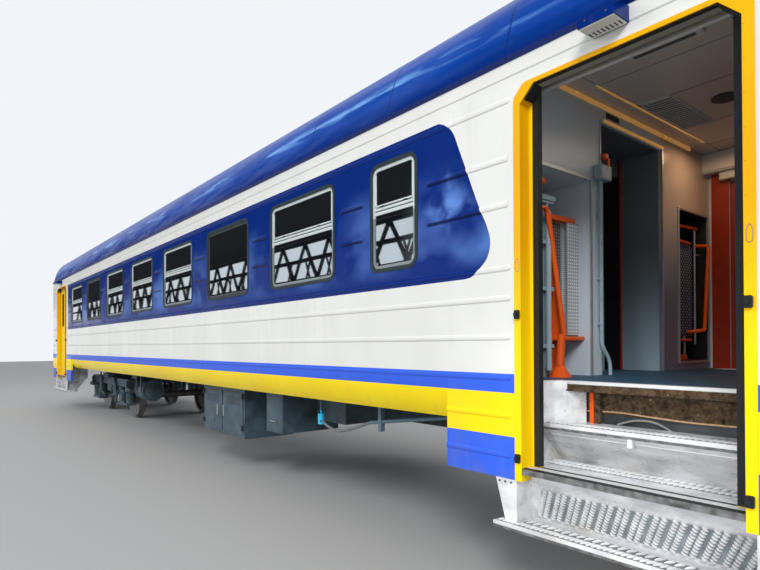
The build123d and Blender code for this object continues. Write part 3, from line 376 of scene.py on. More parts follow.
def leaf_paint():
    n = Nodes("leaf_paint")
    yellow = n.mix(n.patches(0.35, 0.7, 0.9, 3), YELLOW, (0.85, 0.5, 0.01))
    n.finish(n.mix(n.below(n.math("ABSOLUTE", n.y), 1.612), yellow, LEAF_INSIDE), Roughness=0.25,
             Coat_Weight=0.4)


# Glass that mirrors at a slant and shows a dark inside head on
def mirror_glass():
    n = Nodes("window_pane")
    slant = n.ramp(n.add("ShaderNodeLayerWeight").outputs["Facing"], 0.05, 0.36)
    n.bump(n.noise(1.1, 1), 0.08, 0.01)
    n.finish(n.mix(slant, (0.025, 0.035, 0.04), (0.58, 0.64, 0.68)), Metallic=slant, Roughness=0.02,
             Alpha=0.97)


def pane_glass(name, colour, alpha):
    n = Nodes(name)
    n.bump(n.noise(1.1, 1), 0.1, 0.01)
    n.finish(n.mix(n.patches(0.35, 0.65, 0.7, 2), colour, [c * 1.6 for c in colour]), Roughness=0.03,
             Alpha=alpha, IOR=2.4, Coat_Weight=1.0, Coat_Roughness=0.02)


# Wheelchair lift: grey mast, orange frame, and a plate with raised diamonds behind them
def lift_paint():
    n = Nodes("lift_paint")
    checker = n.mix(n.ramp(n.diamonds(190), 0.1, 0.5), (0.42, 0.44, 0.45), (0.95, 0.97, 0.98))
    colour = n.mix(n.below(n.y, -0.978), ORANGE, (0.27, 0.34, 0.36))
    n.finish(n.mix(n.below(n.x, PARTITION - 0.167), colour, checker), Roughness=0.35)


# Hose fittings: a blue cock low at the hanger, grey elsewhere
def fitting_paint():
    n = Nodes("fitting_paint")
    cock = n.times(n.below(n.z, 0.94 + RAIL), n.below(n.x, HANGER_X + 0.05))
    n.finish(n.mix(cock, (0.1, 0.17, 0.21), (0.03, 0.5, 0.8)), Roughness=0.4)


# Inside walls, with painted light and shade: pale blue by the doorway, paler towards it as painted daylight;
# darker and warmer beyond the passage, as painted lamplight high up over painted shade lower down; the
# passage darkest, darker upwards as painted shade
def inside_wall_paint_and_light(name, in_passage):
    n = Nodes(name)
    if in_passage:
        # Lighter at the floor, darker upwards: painted shade in the passage
        colour = n.mix(n.ramp(n.z, FLOOR, 2.5), (0.34, 0.46, 0.54), (0.13, 0.16, 0.185))
    else:
        beyond = n.times(n.above(n.y, 0.56), n.below(n.x, PARTITION + 0.01))
        # Warm above, dark below: painted lamplight and painted shade
        warm = n.mix(n.ramp(n.z, 2.2, 2.75), (0.17, 0.17, 0.23), (0.44, 0.38, 0.33))
        # Paler towards the doorway: painted daylight
        pale = n.mix(n.ramp(n.y, -1.7, -0.45), (0.74, 0.86, 0.92), (0.5, 0.57, 0.63))
        colour = n.mix(beyond, pale, warm)
    n.finish(n.mix(n.ramp(n.noise(2, 5), 0.3, 0.7, 0.0, 0.08), colour, (0.3, 0.3, 0.32)), Roughness=0.28)


def checker_plate(name, ground, raised):
    n = Nodes(name)
    n.finish(n.mix(n.ramp(n.diamonds(120), 0.25, 0.6), ground, raised), Roughness=0.4, Metallic=0.3)


def steel_tread():
    n = Nodes("step_aluminium")
    worn = n.noise(5, 4, (1, 2, 2))
    colour = n.mix(n.ramp(worn, 0.3, 0.7), (0.58, 0.59, 0.61), (0.93, 0.94, 0.95))
    colour = n.mix(n.ramp(n.noise(2.6, 5), 0.55, 0.78, 0.0, 0.5), colour, (0.6, 0.5, 0.3))
    colour = n.mix(n.ramp(n.noise(38, 6), 0.66, 0.72, 0.0, 0.5), colour, (0.3, 0.28, 0.26))
    n.bump(n.noise(2.6, 3), 0.5, 0.02)
    n.finish(colour, Metallic=0.3, Roughness=n.ramp(worn, 0.3, 0.7, 0.2, 0.38))


# Roof paint: darker over the gutter, a broken gleam along the cove as a painted highlight, and a seam at
# each sheet
def roof_paint_and_gleam():
    n = Nodes("roof_paint_and_gleam")
    colour = n.mix(n.patches(0.35, 0.7, 0.8, 3), (0.001, 0.04, 0.26), (0.003, 0.055, 0.32))
    colour = n.mix(n.ramp(n.z, GUTTER + 0.2, GUTTER), colour, (0.0005, 0.014, 0.125))
    broken = n.patches(0.5, 0.6, 2.4, 4, (0.4, 1, 3.5))
    # The gleam is a painted highlight
    gleam = n.times(n.ramp(n.gap(n.z, GUTTER + 0.27), 0.07, 0.0), broken)
    colour = n.mix(gleam, colour, (0.14, 0.32, 0.66))
    sheet = n.math("FRACT", n.times(n.plus(n.x, 20.0), 1 / 1.18))
    seam = n.ramp(n.gap(sheet, 0.5), 0.0, 0.012)
    dents = n.bump(n.noise(1.6, 2, (0.5, 1, 2.2)), 0.8, 0.05)
    n.bump(seam, 0.5, 0.003, under=dents)
    n.finish(n.mix(seam, (0.002, 0.018, 0.12), colour), Roughness=0.24, Specular_IOR_Level=0.03)


def insulation():
    n = Nodes("insulation")
    tufts = n.noise(26, 9, (1, 1, 1), 0.7)
    colour = n.mix(n.ramp(tufts, 0.35, 0.65), (0.02, 0.012, 0.008), (0.16, 0.105, 0.06))
    n.bump(tufts, 1.0, 0.03)
    n.finish(n.mix(n.patches(0.66, 0.74, 60, 5), colour, (0.42, 0.37, 0.3)), Roughness=0.95)


def dotted_cloth():
    n = Nodes("dotted_cloth")
    dots = n.ramp(n.weave(n.y, n.z, 120), 0.35, 0.55)
    n.finish(n.mix(dots, (0.03, 0.04, 0.1), (0.34, 0.38, 0.46)), Roughness=0.9)


# Forms, each as its points and faces
def box_form(low, high, bevel=0.0):
    half = Vector([abs(b - a) / 2 for a, b in zip(low, high)])
    middle = Vector([(a + b) / 2 for a, b in zip(low, high)])
    cut = min(bevel, min(half) * 0.9)
    signs = [(x, y, z) for x in SIDES for y in SIDES for z in SIDES]
    if not cut:
        points = [middle + Vector([s * h for s, h in zip(sign, half)]) for sign in signs]
        return points, [(0, 1, 3, 2), (4, 6, 7, 5), (0, 4, 5, 1), (2, 3, 7, 6), (0, 2, 6, 4), (1, 5, 7, 3)]
    points, faces, spot = [], [], {}
    for sign in signs:
        spot[sign] = len(points)
        for keep in range(3):
            insets = [0 if axis == keep else cut for axis in range(3)]
            points.append(middle + Vector([s * (h - inset) for s, h, inset in zip(sign, half, insets)]))
        faces.append([spot[sign] + axis for axis in ((0, 1, 2) if math.prod(sign) > 0 else (2, 1, 0))])

    def corner(axis, way, a, b):
        sign = [0, 0, 0]
        sign[axis], sign[(axis + 1) % 3], sign[(axis + 2) % 3] = way, a, b
        return spot[tuple(sign)]

    for axis in range(3):
        first, second = (axis + 1) % 3, (axis + 2) % 3
        for way in SIDES:
            faces.append([corner(axis, way, *ends) + axis for ends in ((-1, -1), (1, -1), (1, 1), (-1, 1))])
            for b in SIDES:
                low, high = corner(axis, -1, way, b), corner(axis, 1, way, b)
                faces.append([low + first, high + first, high + second, low + second])
    return points, faces


def ring_points(centre, turn, size, sides):
    angles = [2 * math.pi * index / sides for index in range(sides)]
    return [centre + turn @ Vector((size * math.cos(angle), size * math.sin(angle), 0)) for angle in angles]


# Faces from each ring of points to the next
def skin(count, rings):
    return [(low + i, low + (i + 1) % count, low + count + (i + 1) % count, low + count + i)
            for low in range(0, (rings - 1) * count, count) for i in range(count)]


def band_faces(count):
    return skin(count, 2) + [tuple(reversed(range(count))), tuple(range(count, 2 * count))]


def rod_form(start, end, radius, sides=10, top=None):
    start, end = Vector(start), Vector(end)
    turn = (end - start).to_track_quat("Z", "Y")
    points = ring_points(start, turn, radius, sides)
    return points + ring_points(end, turn, radius if top is None else top, sides), band_faces(sides)


def plate_form(outline, thick):
    points = [Vector(point) for point in outline]
    return points + [point + Vector(thick) for point in points], band_faces(len(outline))


def ball_form(middle, size, sides=10, rings=6, turn=None):
    points = []
    for ring in range(1, rings):
        lift = math.pi * ring / rings - math.pi / 2
        for index in range(sides):
            angle = 2 * math.pi * index / sides
            points.append(Vector((size[0] * math.cos(lift) * math.cos(angle),
                                  size[1] * math.cos(lift) * math.sin(angle), size[2] * math.sin(lift))))
    count, top = len(points), (rings - 2) * sides
    points += [Vector((0, 0, -size[2])), Vector((0, 0, size[2]))]
    faces = skin(sides, rings - 1)
    for index in range(sides):
        after = (index + 1) % sides
        faces += [(count, after, index), (count + 1, top + index, top + after)]
    return [Vector(middle) + (turn @ point if turn else point) for point in points], faces


def coil_form(foot, radius, pitch, turns, wire, steps=16, sides=6):
    points = []
    for index in range(turns * steps + 1):
        angle = 2 * math.pi * index / steps
        out = Vector((math.cos(angle), math.sin(angle), 0))
        centre = Vector(foot) + out * radius + Vector((0, 0, pitch * index / steps))
        for side in range(sides):
            around = 2 * math.pi * side / sides
            points.append(centre + out * (wire * math.cos(around)) + Vector((0, 0, wire * math.sin(around))))
    return points, skin(sides, turns * steps + 1)


# A group collects many small forms of one material on one body. Points are given from the spot that
# place() last set: X and Z are added, and Y counts towards one side of the coach.
class Group:
    spot = (0, 0, 1)
    on_bodies = []

    def __init__(self, name, material, body="coach", smooth=False):
        self.name, self.material, self.body, self.smooth = name, material, body, smooth
        self.points, self.faces = [], []
        if body:
            Group.on_bodies.append(self)

    def add(self, form):
        points, faces = form
        start = len(self.points)
        self.points += [tuple(point) for point in points]
        self.faces += [tuple(start + index for index in face) for face in faces]

    def box(self, low, high, bevel=0.0):
        self.add(box_form(*placed((low, high)), bevel))

    def rod(self, start, end, radius, sides=10, top=None):
        self.add(rod_form(*placed((start, end)), radius, sides, top))

    def ball(self, middle, size, sides=10, rings=6, turn=None):
        self.add(ball_form(*placed((middle,)), size, sides, rings, turn))

    def plate(self, outline, thick):
        self.add(plate_form(placed(outline), (thick[0], thick[1] * Group.spot[2], thick[2])))

    def finish(self):
        mesh = bpy.data.meshes.new(self.name)
        mesh.from_pydata(self.points, [], self.faces)
        if self.body:
            bm = bmesh.new()
            bm.from_mesh(mesh)
            bmesh.ops.recalc_face_normals(bm, faces=bm.faces)
            bm.to_mesh(mesh)
            bm.free()
        mesh.materials.append(MATERIALS[self.material])
        if self.smooth:
            mesh.shade_smooth()
            mesh.set_sharp_from_angle(angle=math.radians(42))
        return show(self.name, mesh, self.body)


# Groups of the coach, each told as its name and material, with the word smooth after them for round forms
def make_groups(*rows):
    groups = []
    for row in rows:
        name, material, *smooth = row.split()
        groups.append(Group(name, material, smooth=bool(smooth)))
    return groups


def place(x=0.0, z=0.0, side=1):
    Group.spot = (x, z, side)


def placed(points):
    x, z, side = Group.spot
    return [(point[0] + x, point[1] * side, point[2] + z) for point in points]


# Sets the spot on either side of the coach in turn
def both_sides(x=0.0, z=0.0):
    for side in SIDES:
        place(x, z, side)
        yield side


# Sets the spot to the middle of each doorway in turn
def doorways():
    for door, middle, side in DOORS:
        place(middle, 0, side)
        yield door, middle, side


def tube(name, points, radius, material, rounding=3, order=3):
    curve = bpy.data.curves.new(name, "CURVE")
    curve.dimensions = "3D"
    spline = curve.splines.new("NURBS")
    spline.points.add(len(points) - 1)
    for point, spot in zip(spline.points, placed(points)):
        point.co = (*spot, 1)
    spline.order_u = order
    spline.use_endpoint_u = True
    curve.bevel_depth = radius
    curve.bevel_resolution = rounding
    curve.use_fill_caps = True
    curve.materials.append(MATERIALS[material])
    return show(name, curve, "coach")


def make_stage():
    Nodes("stage_floor").finish((0.4, 0.4, 0.4), Roughness=0.9)
    ground = Group("stage_floor", "stage_floor", None)
    ground.add(([(-70, -40, 0), (40, -40, 0), (40, 60, 0), (-70, 60, 0)], [(0, 1, 2, 3)]))
    ground.finish()


# Dark roofs on lattices, off to both sides, which only show in reflections
def make_reflector():
    Nodes("stage_dark").finish((0.0, 0.0, 0.0), Roughness=1.0, Emission_Color=(0.004, 0.005, 0.007),
                               Emission_Strength=1.0)
    card = Group("stage_reflector", "stage_dark", None)
    rear, fore, far, back, roof = -70, 30, 11.7, 14.2, 6.2
    for side in both_sides():
        card.box((rear, far, roof), (fore, 3.6, roof + 0.2))
        for level in (4.5, 5.35, 6.1):
            card.box((rear, far - 0.08, level - 0.07), (fore, far + 0.08, level + 0.07))
        for bay in range(45):
            place(-60 + bay * 1.9, 0, side)
            card.rod((0, far, 4.5), (0.95, far, 6.1), 0.085, 6)
            card.rod((0.95, far, 6.1), (1.9, far, 4.5), 0.085, 6)
            card.rod((0.4, back, 4.2), (1.2, back, 6.1), 0.06, 6)
            card.rod((1.5, back, 4.2), (0.7, back, 6.1), 0.06, 6)
            if bay % 3 == 0:
                card.box((-0.15, far - 0.15, 0), (0.15, far + 0.15, 4.5))
    piece = card.finish()
    for ray in ("camera", "diffuse", "transmission", "shadow", "volume_scatter"):
        setattr(piece, "visible_" + ray, False)


# Rounded ends of the pressed ribs beside the doorways and on the window piers
def add_rib_ends():
    ends = Group("rib_ends", "wall_paint_and_light", smooth=True)
    spots = [(middle + way * (DOOR_HALF + 0.048), height) for middle in (FRONT_DOOR, REAR_DOOR)
             for way in SIDES for height in DOOR_RIBS]
    edges = sorted(x + way * width / 2 for x, width in WINDOWS for way in SIDES)
    spots += [(edge + SIDES[index % 2] * 0.107, height) for index, edge in enumerate(edges)
              for height in PIER_RIBS]
    for x, height in spots:
        for side in both_sides(x, height + RAIL):
            ends.ball((0, HALF, 0), (0.02, 0.008, 0.02))


# Rubber edges and panes of the leaves
def add_leaf_parts():
    for door, middle, side in doorways():
        for way, label in ((-1, "aft"), (1, "fore")):
            edge = middle + way * (0.001 + (LEAF_TRAVEL if door == OPEN_DOOR else 0))
            leaf = door + "_" + label
            seal = Group("leaf_seal_" + leaf, "black_rubber", "door_leaf_" + leaf)
            pane = Group("leaf_pane_" + leaf, "leaf_pane", "door_leaf_" + leaf)
            place(edge, 0, side)
            seal.box((-way * 0.0004, LEAF_Y - 0.0235, SILL + 0.008),
                     (way * 0.042, LEAF_Y + 0.0235, PORTAL_TOP - 0.012), 0.003)
            place(edge + way * LEAF_WIDTH / 2, RAIL, side)
            inner, outer = LEAF_Y - 0.0215, LEAF_Y + 0.0215
            for z in (LEAF_PANE_LOW, LEAF_PANE_TOP):
                seal.box((-0.118, inner, z - 0.012), (0.118, outer, z + 0.012), 0.004)
            for x in (-0.115, 0.115):
                seal.box((x - 0.011, inner, LEAF_PANE_LOW), (x + 0.011, outer, LEAF_PANE_TOP), 0.004)
            pane.box((-0.115, LEAF_Y - 0.004, LEAF_PANE_LOW), (0.115, LEAF_Y + 0.004, LEAF_PANE_TOP))


# Frames and latches of the vents, above each window's rail
def add_vents():
    vent = Group("vent_frames", "vent_metal")
    latch = Group("vent_latches", "black_rubber")
    inner, outer = HALF - 0.022, HALF - 0.006
    for index, (x, width) in enumerate(WINDOWS):
        if index in FIXED_WINDOWS:
            continue
        half = width / 2 - 0.045
        for side in both_sides(x, VENT_RAIL):
            vent.box((-half, inner, 0.02), (half, outer, 0.042), 0.003)
            vent.box((-half, inner, 0.052), (half, outer, 0.066), 0.003)
            for way in SIDES:
                top = HEAD - 0.07 - VENT_RAIL
                vent.box((way * half, inner, 0.045), (way * (half - 0.018), outer, top), 0.003)
                spot = way * half * 0.6
                latch.box((spot - 0.02, inner - 0.004, 0.045), (spot + 0.02, outer + 0.004, 0.055), 0.002)


# Doorways outside: buffer blocks, rivets, lamp undersides, seals, tracks and sills, and black strips and
# corner plates as painted shade
def add_doorway_outside():
    blocks, louvres, slots, tracks, seals_and_shade, rivets, inside, sill, header = make_groups(
        "door_buffers black_rubber", "lamp_undersides pale_paint", "lamp_slots dark_gear",
        "door_tracks pale_paint", "doorway_seals black_rubber", "post_rivets portal_finish smooth",
        "door_surrounds door_inside", "door_sills pale_paint", "door_headers header_paint")
    face, head, rivet = HALF + 0.006, PORTAL_TOP - FRAME_FACE, (0.005, 0.003, 0.005)
    lamp_x, lamp_z = -0.017, 3.315
    latch_ring = ((0, 0.042), (0.013, 0.036), (0.013, -0.036), (0, -0.042), (-0.013, -0.036),
                  (-0.013, 0.036), (0, 0.042))
    for door, middle, side in doorways():
        for way in SIDES:
            x = way * (DOOR_HALF - 0.03)
            for z in (0.893 + RAIL, 1.785 + RAIL):
                blocks.box((x - 0.019, face - side * 0.002, z - 0.028), (x + 0.019, face + 0.024, z + 0.028),
                           0.006)
                blocks.rod((x, face + 0.02, z), (x, face + 0.034, z), 0.013, 12)
            for spot in range(15):
                rivets.ball((way * (REACH + 0.009), face, 0.9 + spot * 0.155), rivet, 8, 4)
            x = lamp_x + way * 0.06
            slots.rod((x, HALF + 0.149, lamp_z + 0.028), (x, HALF + 0.153, lamp_z + 0.028), 0.006, 8)
            inside.box((way * (REACH + 0.002), 1.568, FLOOR), (way * 0.775, 1.5765, 3.31 + RAIL))
            ring = [(way * 0.637 + x, HALF + 0.0065, 2.12 + z) for x, z in latch_ring]
            tube(f"latch_{door}_{way}", ring, 0.0025, "tan_hem")
            corner, foot = head - 0.106, 0.03 if way < 0 else 0.0
            # Black plates in the reveal's upper corners: painted shade
            seals_and_shade.plate([(way * (REACH - foot), 1.656, corner + foot), (way * (REACH - 0.106), 1.656, head),
                         (way * (REACH - 0.106), 1.656, head - 0.007),
                         (way * (REACH - foot - 0.002), 1.656, corner + foot - 0.006)], (0, 0.081, 0))
        for spot in range(8):
            rivets.ball((-0.46 + spot * 0.131, face, head + 0.009), rivet, 8, 4)
            x = lamp_x - 0.084 + spot * 0.024
            slots.box((x - 0.004, HALF + 0.028, lamp_z - 0.0085), (x + 0.004, HALF + 0.072, lamp_z - 0.0065))
        louvres.box((lamp_x - 0.098, HALF + 0.012, lamp_z - 0.007),
                    (lamp_x + 0.098, HALF + 0.142, lamp_z + 0.0005))
        # Black strip on the fore post only: painted shade between post and leaf
        seals_and_shade.box((REACH - 0.01, 1.656, SILL + 0.02), (REACH, 1.7, PORTAL_TOP - 0.155), 0.003)
        # Black strip under the outer edge of the head: painted shade under the head
        seals_and_shade.box((0.1 - REACH, 1.706, head - 0.006), (REACH - 0.1, 1.737, head))
        header.box((0.1 - REACH, 1.656, head - 0.006), (REACH - 0.1, 1.706, head))
        header.box((-0.6, 1.58, 3.2 + RAIL), (0.6, 1.6, 3.3 + RAIL))
        tracks.box((-0.68, 1.5, 3.222 + RAIL), (0.68, 1.565, 3.3 + RAIL), 0.006)
        for group, low, high in ((seals_and_shade, 1.7, 1.742), (sill, 1.64, 1.698), (seals_and_shade, 1.612, 1.636)):
            group.box((0.052 - DOOR_HALF, low, SILL), (DOOR_HALF - 0.052, high, SILL + 0.004))


# Steps: raised teeth on the treads, and beads in leaning pairs on the riser
def add_step_grip():
    grip, teeth, gaps, backing = make_groups(
        "step_grip step_aluminium smooth", "step_teeth step_aluminium smooth", "step_gaps worn_metal",
        "grip_backing grip_sheet")
    long, short = DOOR_HALF + 0.13, DOOR_HALF - 0.03
    rows = (
        # level, distance from the middle plane, half length, pitch of the teeth
        (STEP, 1.72, long, 0.034), (STEP, 1.645, long, 0.05), (SILL, 1.43, short, 0.032),
        (SILL, 1.36, short, 0.042), (TREAD, 1.44, short, 0.034),
    )
    for door, middle, side in doorways():
        tooth_turn = Matrix.Rotation(math.radians(32 * side), 3, "Z")
        bead_turn = Matrix.Rotation(math.radians(-34 * side), 3, "Y")
        for top, y, half, pitch in rows:
            for index in range(int(2 * half / pitch)):
                spot = ((index + 0.5) * pitch - half, y, top + 0.002)
                teeth.ball(spot, (0.0088, 0.034, 0.011), 8, 5, tooth_turn)
            gaps.box((-half, y - 0.033, top - 0.001), (half, y + 0.033, top + 0.0012))
        backing.plate([(0.02 - DOOR_HALF, 1.513, STEP + 0.016), (DOOR_HALF - 0.08, 1.513, STEP + 0.016),
                       (DOOR_HALF - 0.02, 1.611, STEP + 0.21), (0.1 - DOOR_HALF, 1.611, STEP + 0.21)],
                      (0, 0.002, 0))
        for index in range(26):
            pair, second = divmod(index, 2)
            for row in range(10):
                share = 0.09 + row * 0.0615
                x = 0.1 - DOOR_HALF + pair * 0.0985 + second * 0.041 + 0.17 * (share - 0.5)
                if x < short:
                    spot = (x, 1.514 + 0.149 * share, STEP + (SILL - 0.034 - STEP) * share)
                    grip.ball(spot, (0.0185, 0.019, 0.0088), 10, 6, bead_turn)


# Steps: edges, the slanted sides of the well, insulation behind it, bolts, posts and lines on the riser
def add_step_details():
    edge, white, under, bolts, worn, posts = make_groups(
        "step_edges step_aluminium", "floor_nosing pale_paint", "step_backing insulation",
        "step_bolts dark_gear", "sill_edges worn_edge", "step_posts orange_paint")
    half, well_top, back = DOOR_HALF - 0.01, FLOOR - 0.05, FLOOR - 0.062
    arc = ((-0.26, 0.004), (-0.18, 0.036), (-0.09, 0.047), (0, 0.036), (0.07, -0.004))
    hem = ((-0.52, 0.068), (-0.3, 0.085), (-0.05, 0.068), (0.25, 0.055), (0.62, 0.066))
    for door, middle, side in doorways():
        white.box((-half, 1.352, FLOOR - 0.018), (half, 1.369, FLOOR + 0.004), 0.003)
        worn.box((0.052 - DOOR_HALF, 1.7405, SILL - 0.034), (DOOR_HALF - 0.052, 1.7445, SILL + 0.001))
        under.box((-half, 1.34, back), (half, 1.3675, FLOOR - 0.018))
        edge.box((-half, 1.3, FLOOR), (half, 1.366, FLOOR + 0.003))
        for y, z, reach in ((1.772, STEP, DOOR_HALF + 0.155), (1.505, TREAD, DOOR_HALF - 0.012)):
            edge.box((-reach, y - 0.006, z - 0.02), (reach, y, z + 0.004), 0.002)
            worn.box((-reach, y - 0.006, z - 0.036), (reach, y, z - 0.021))
        for way in SIDES:
            for low, top, outline in (
                    (well_top, FLOOR + 0.004, ((0, 1.49), (0, 1.36), (0.125, 1.36))),
                    (TREAD, well_top, ((0.003, 1.49), (0.113, 1.372), (0.11, 1.366), (0, 1.484))),
                    (TREAD, back, ((0.112, 1.372), (0.19, 1.262), (0.184, 1.258), (0.106, 1.368)))):
                edge.plate([(way * (half - inset), y, low) for inset, y in outline], (0, 0, top - low))
            for spot in range(3):
                x, z = way * (DOOR_HALF + 0.035 + spot * 0.045), PORTAL_LOW - 0.02
                bolts.rod((x, HALF - 0.006, z), (x, HALF + 0.004, z), 0.007, 8)
        under.box((0.14 - DOOR_HALF, 1.227, TREAD + 0.062), (half, 1.236, back))
        edge.box((-0.06, 1.49, TREAD - 0.085), (-0.03, 1.515, TREAD - 0.034), 0.003)
        white.box((0.06 - DOOR_HALF, 1.456, 1.05), (DOOR_HALF - 0.02, 1.47, 1.058), 0.002)
        white.rod((0.06 - DOOR_HALF, 1.262, 0.876), (0.06 - DOOR_HALF, 1.462, 1.054), 0.005, 8)
        posts.box((-0.434, 1.248, TREAD), (-0.406, 1.276, FLOOR - 0.06), 0.004)
        under.box((-0.4, 1.248, TREAD), (-0.358, 1.276, FLOOR - 0.06))
        place(middle, TREAD, side)
        tube(f"well_arc_{middle:.0f}_{side}", [(x, 1.243, z) for x, z in arc], 0.007, "well_edge")
        tube(f"insulation_hem_{middle:.0f}_{side}", [(x, 1.24, z) for x, z in hem], 0.006, "tan_hem")


# Passage beside the front partition, with the trims, conduit and handle on the partition's face
def add_vestibule():
    walls, red, shadow, trim, gold, steel, handle = make_groups(
        "passage_walls passage_paint", "passage_edge red_paint", "passage_shadow black_rubber",
        "partition_trim frame_metal", "ceiling_trim gold_trim", "conduit_box conduit_paint",
        "red_handle orange_paint")
    place(PARTITION, RAIL)
    floor, ceiling = FLOOR - RAIL, CEILING - RAIL
    walls.box((-0.38, 0.57, floor), (-0.03, 0.6, 3.355))
    walls.box((-0.6, -0.5, floor), (-0.03, -0.47, 3.355))
    walls.box((-0.6, -0.5, 3.355), (-0.03, 0.6, 3.385))
    walls.box((-0.44, -0.47, floor), (-0.41, 0.3, 3.2))
    walls.box((-0.44, -0.47, 3.2), (-0.41, 0.57, 3.355))
    red.box((-0.392, 0.552, floor), (-0.378, 0.572, 3.35))
    shadow.box((-0.6, 0.57, floor), (-0.39, 0.6, 3.355))
    shadow.box((0, -0.375, 3.408), (0.006, -0.181, 3.452), 0.002)
    trim.box((0, -0.625, floor), (0.012, -0.605, 2.87))
    trim.box((0, -0.482, floor), (0.01, -0.468, 3.37))
    trim.box((0, 0.568, floor), (0.01, 0.585, 3.37))
    trim.box((0, -1.56, 2.86), (0.014, -0.605, 2.885))
    for y in (0.878, 1.548):
        trim.box((0, y, 1.418), (0.014, y + 0.024, 2.892), 0.003)
    for z in (1.418, 2.868):
        trim.box((0, 0.902, z), (0.014, 1.548, z + 0.024), 0.003)
    # Gold trims, glowing as painted light
    gold.box((0, -1.02, 3.466), (0.014, 1.15, 3.499), 0.002)
    gold.box((0, -0.41, 3.364), (0.01, 0.6, 3.388), 0.002)
    gold.box((0.146, -0.78, ceiling - 0.006), (0.162, 1.1, ceiling + 0.001))
    steel.box((0, -0.574, 2.874), (0.075, -0.425, 2.99), 0.008)
    for z in (2.6, 2.1, 1.75):
        steel.box((0, -0.527, z), (0.034, -0.483, z + 0.02), 0.004)
    handle.box((0, -0.462, 3.055), (0.04, -0.405, 3.105), 0.01)
    handle.box((0.03, -0.425, 2.99), (0.045, -0.4, 3.07), 0.006)
    bends = ((0.024, -0.505, 2.88), (0.024, -0.505, 2.2), (0.024, -0.505, 1.66), (0.026, -0.5, 1.58),
             (0.034, -0.425, 1.5), (0.036, -0.4, 1.43), (0.036, -0.4, floor))
    tube("conduit", bends, 0.015, "conduit_paint")


# Wheelchair lift: bent tube, knob, mast with its rungs, and the folded plate
def add_lift_parts():
    fittings, mast, half_plate, plate, edge = make_groups(
        "lift_fittings orange_paint smooth", "lift_mast_parts conduit_paint",
        "lift_plate_half brown_checker", "lift_plate silver_checker", "lift_plate_edges frame_metal")
    place(PARTITION)
    bends = ((-1.262, 2.59), (-1.2, 2.605), (-1.135, 2.612), (-1.1, 2.56), (-0.977, 1.963), (-0.916, 1.7))
    tube("lift_tube", [(-0.04, y, z) for y, z in bends], 0.019, "orange_paint")
    fittings.ball((-0.04, -1.22, 2.785), (0.05, 0.055, 0.035), 14, 8)
    fittings.rod((-0.04, -1.22, 2.71), (-0.04, -1.22, 2.76), 0.028, 12)
    fittings.rod((-0.04, -0.95, 1.7), (-0.04, -0.97, 1.47), 0.03, 14)
    fittings.rod((-0.04, -0.97, 1.47), (-0.04, -0.97, FLOOR), 0.032, 14, 0.085)
    fittings.box((-0.13, -0.97, 1.658), (-0.05, -0.6, 1.688), 0.006)
    for y in (-1.215, -1.135, -1.06):
        mast.box((-0.1, y - 0.01, 1.45), (-0.075, y + 0.01, 2.72), 0.003)
    for z in (1.6, 2.02, 2.36, 2.66):
        mast.box((-0.11, -1.23, z), (-0.07, -0.99, z + 0.03), 0.004)
    mast.box((-0.12, -1.24, 2.68), (-0.06, -0.98, 2.72), 0.004)
    mast.rod((-0.06, -1.075, 1.44), (-0.06, -1.075, 2.6), 0.02, 12)
    mast.box((-0.12, -0.6, 2.59), (-0.04, -0.555, 2.64), 0.006)
    mast.box((-0.12, -0.6, 1.65), (-0.04, -0.53, 1.69), 0.006)
    half_plate.box((-0.166, -0.905, 1.7), (-0.16, -0.775, 2.57))
    plate.box((-0.096, -0.79, 1.7), (-0.09, -0.64, 2.56))
    for y in (-0.775, -0.665):
        edge.box((-0.165, y - 0.006, 1.68), (-0.155, y + 0.006, 2.59))


# Niche: dark lining, and folded seats between bars and posts
def add_niche():
    cloth, lining, bars, posts = make_groups(
        "folded_seats dotted_cloth", "folded_seat_frame black_rubber", "seat_bars orange_paint smooth",
        "seat_posts frame_metal smooth")
    place(PARTITION, RAIL)
    cloth.box((-0.2, 1.1, 1.66), (-0.1, 1.46, 2.6), 0.03)
    for low, high in (((1.556, 1.45), (1.562, 2.875)), ((0.895, 1.45), (0.901, 2.875)),
                      ((0.901, 2.872), (1.556, 2.878)), ((0.901, 1.444), (1.556, 1.45))):
        lining.box((-0.42, *low), (-0.012, *high))
    lining.box((-0.42, 0.91, 1.45), (-0.4, 1.55, 2.86))
    lining.box((-0.26, 1.08, 1.6), (-0.2, 1.5, 2.66), 0.01)
    bars.rod((-0.08, 1.05, 2.75), (-0.08, 1.5, 2.77), 0.016)
    bars.rod((-0.08, 1.08, 2.61), (-0.08, 1.34, 2.6), 0.014)
    bars.rod((-0.08, 1.08, 1.64), (-0.08, 1.34, 1.64), 0.014)
    bars.rod((0.03, 1.5, 2.58), (0.02, 1.42, 1.74), 0.018)
    bars.rod((0.03, 1.5, 2.58), (-0.1, 1.5, 2.6), 0.018)
    bars.rod((0.02, 1.42, 1.74), (-0.1, 1.3, 1.72), 0.018)
    bars.box((-0.15, 1.0, 1.44), (-0.05, 1.2, 1.5), 0.01)
    posts.rod((-0.09, 1.22, 1.44), (-0.09, 1.22, 1.68), 0.012)
    posts.rod((-0.07, 1.42, 1.6), (-0.07, 1.42, 2.74), 0.01)
    posts.rod((-0.07, 1.42, 2.5), (-0.07, 1.52, 2.5), 0.01)


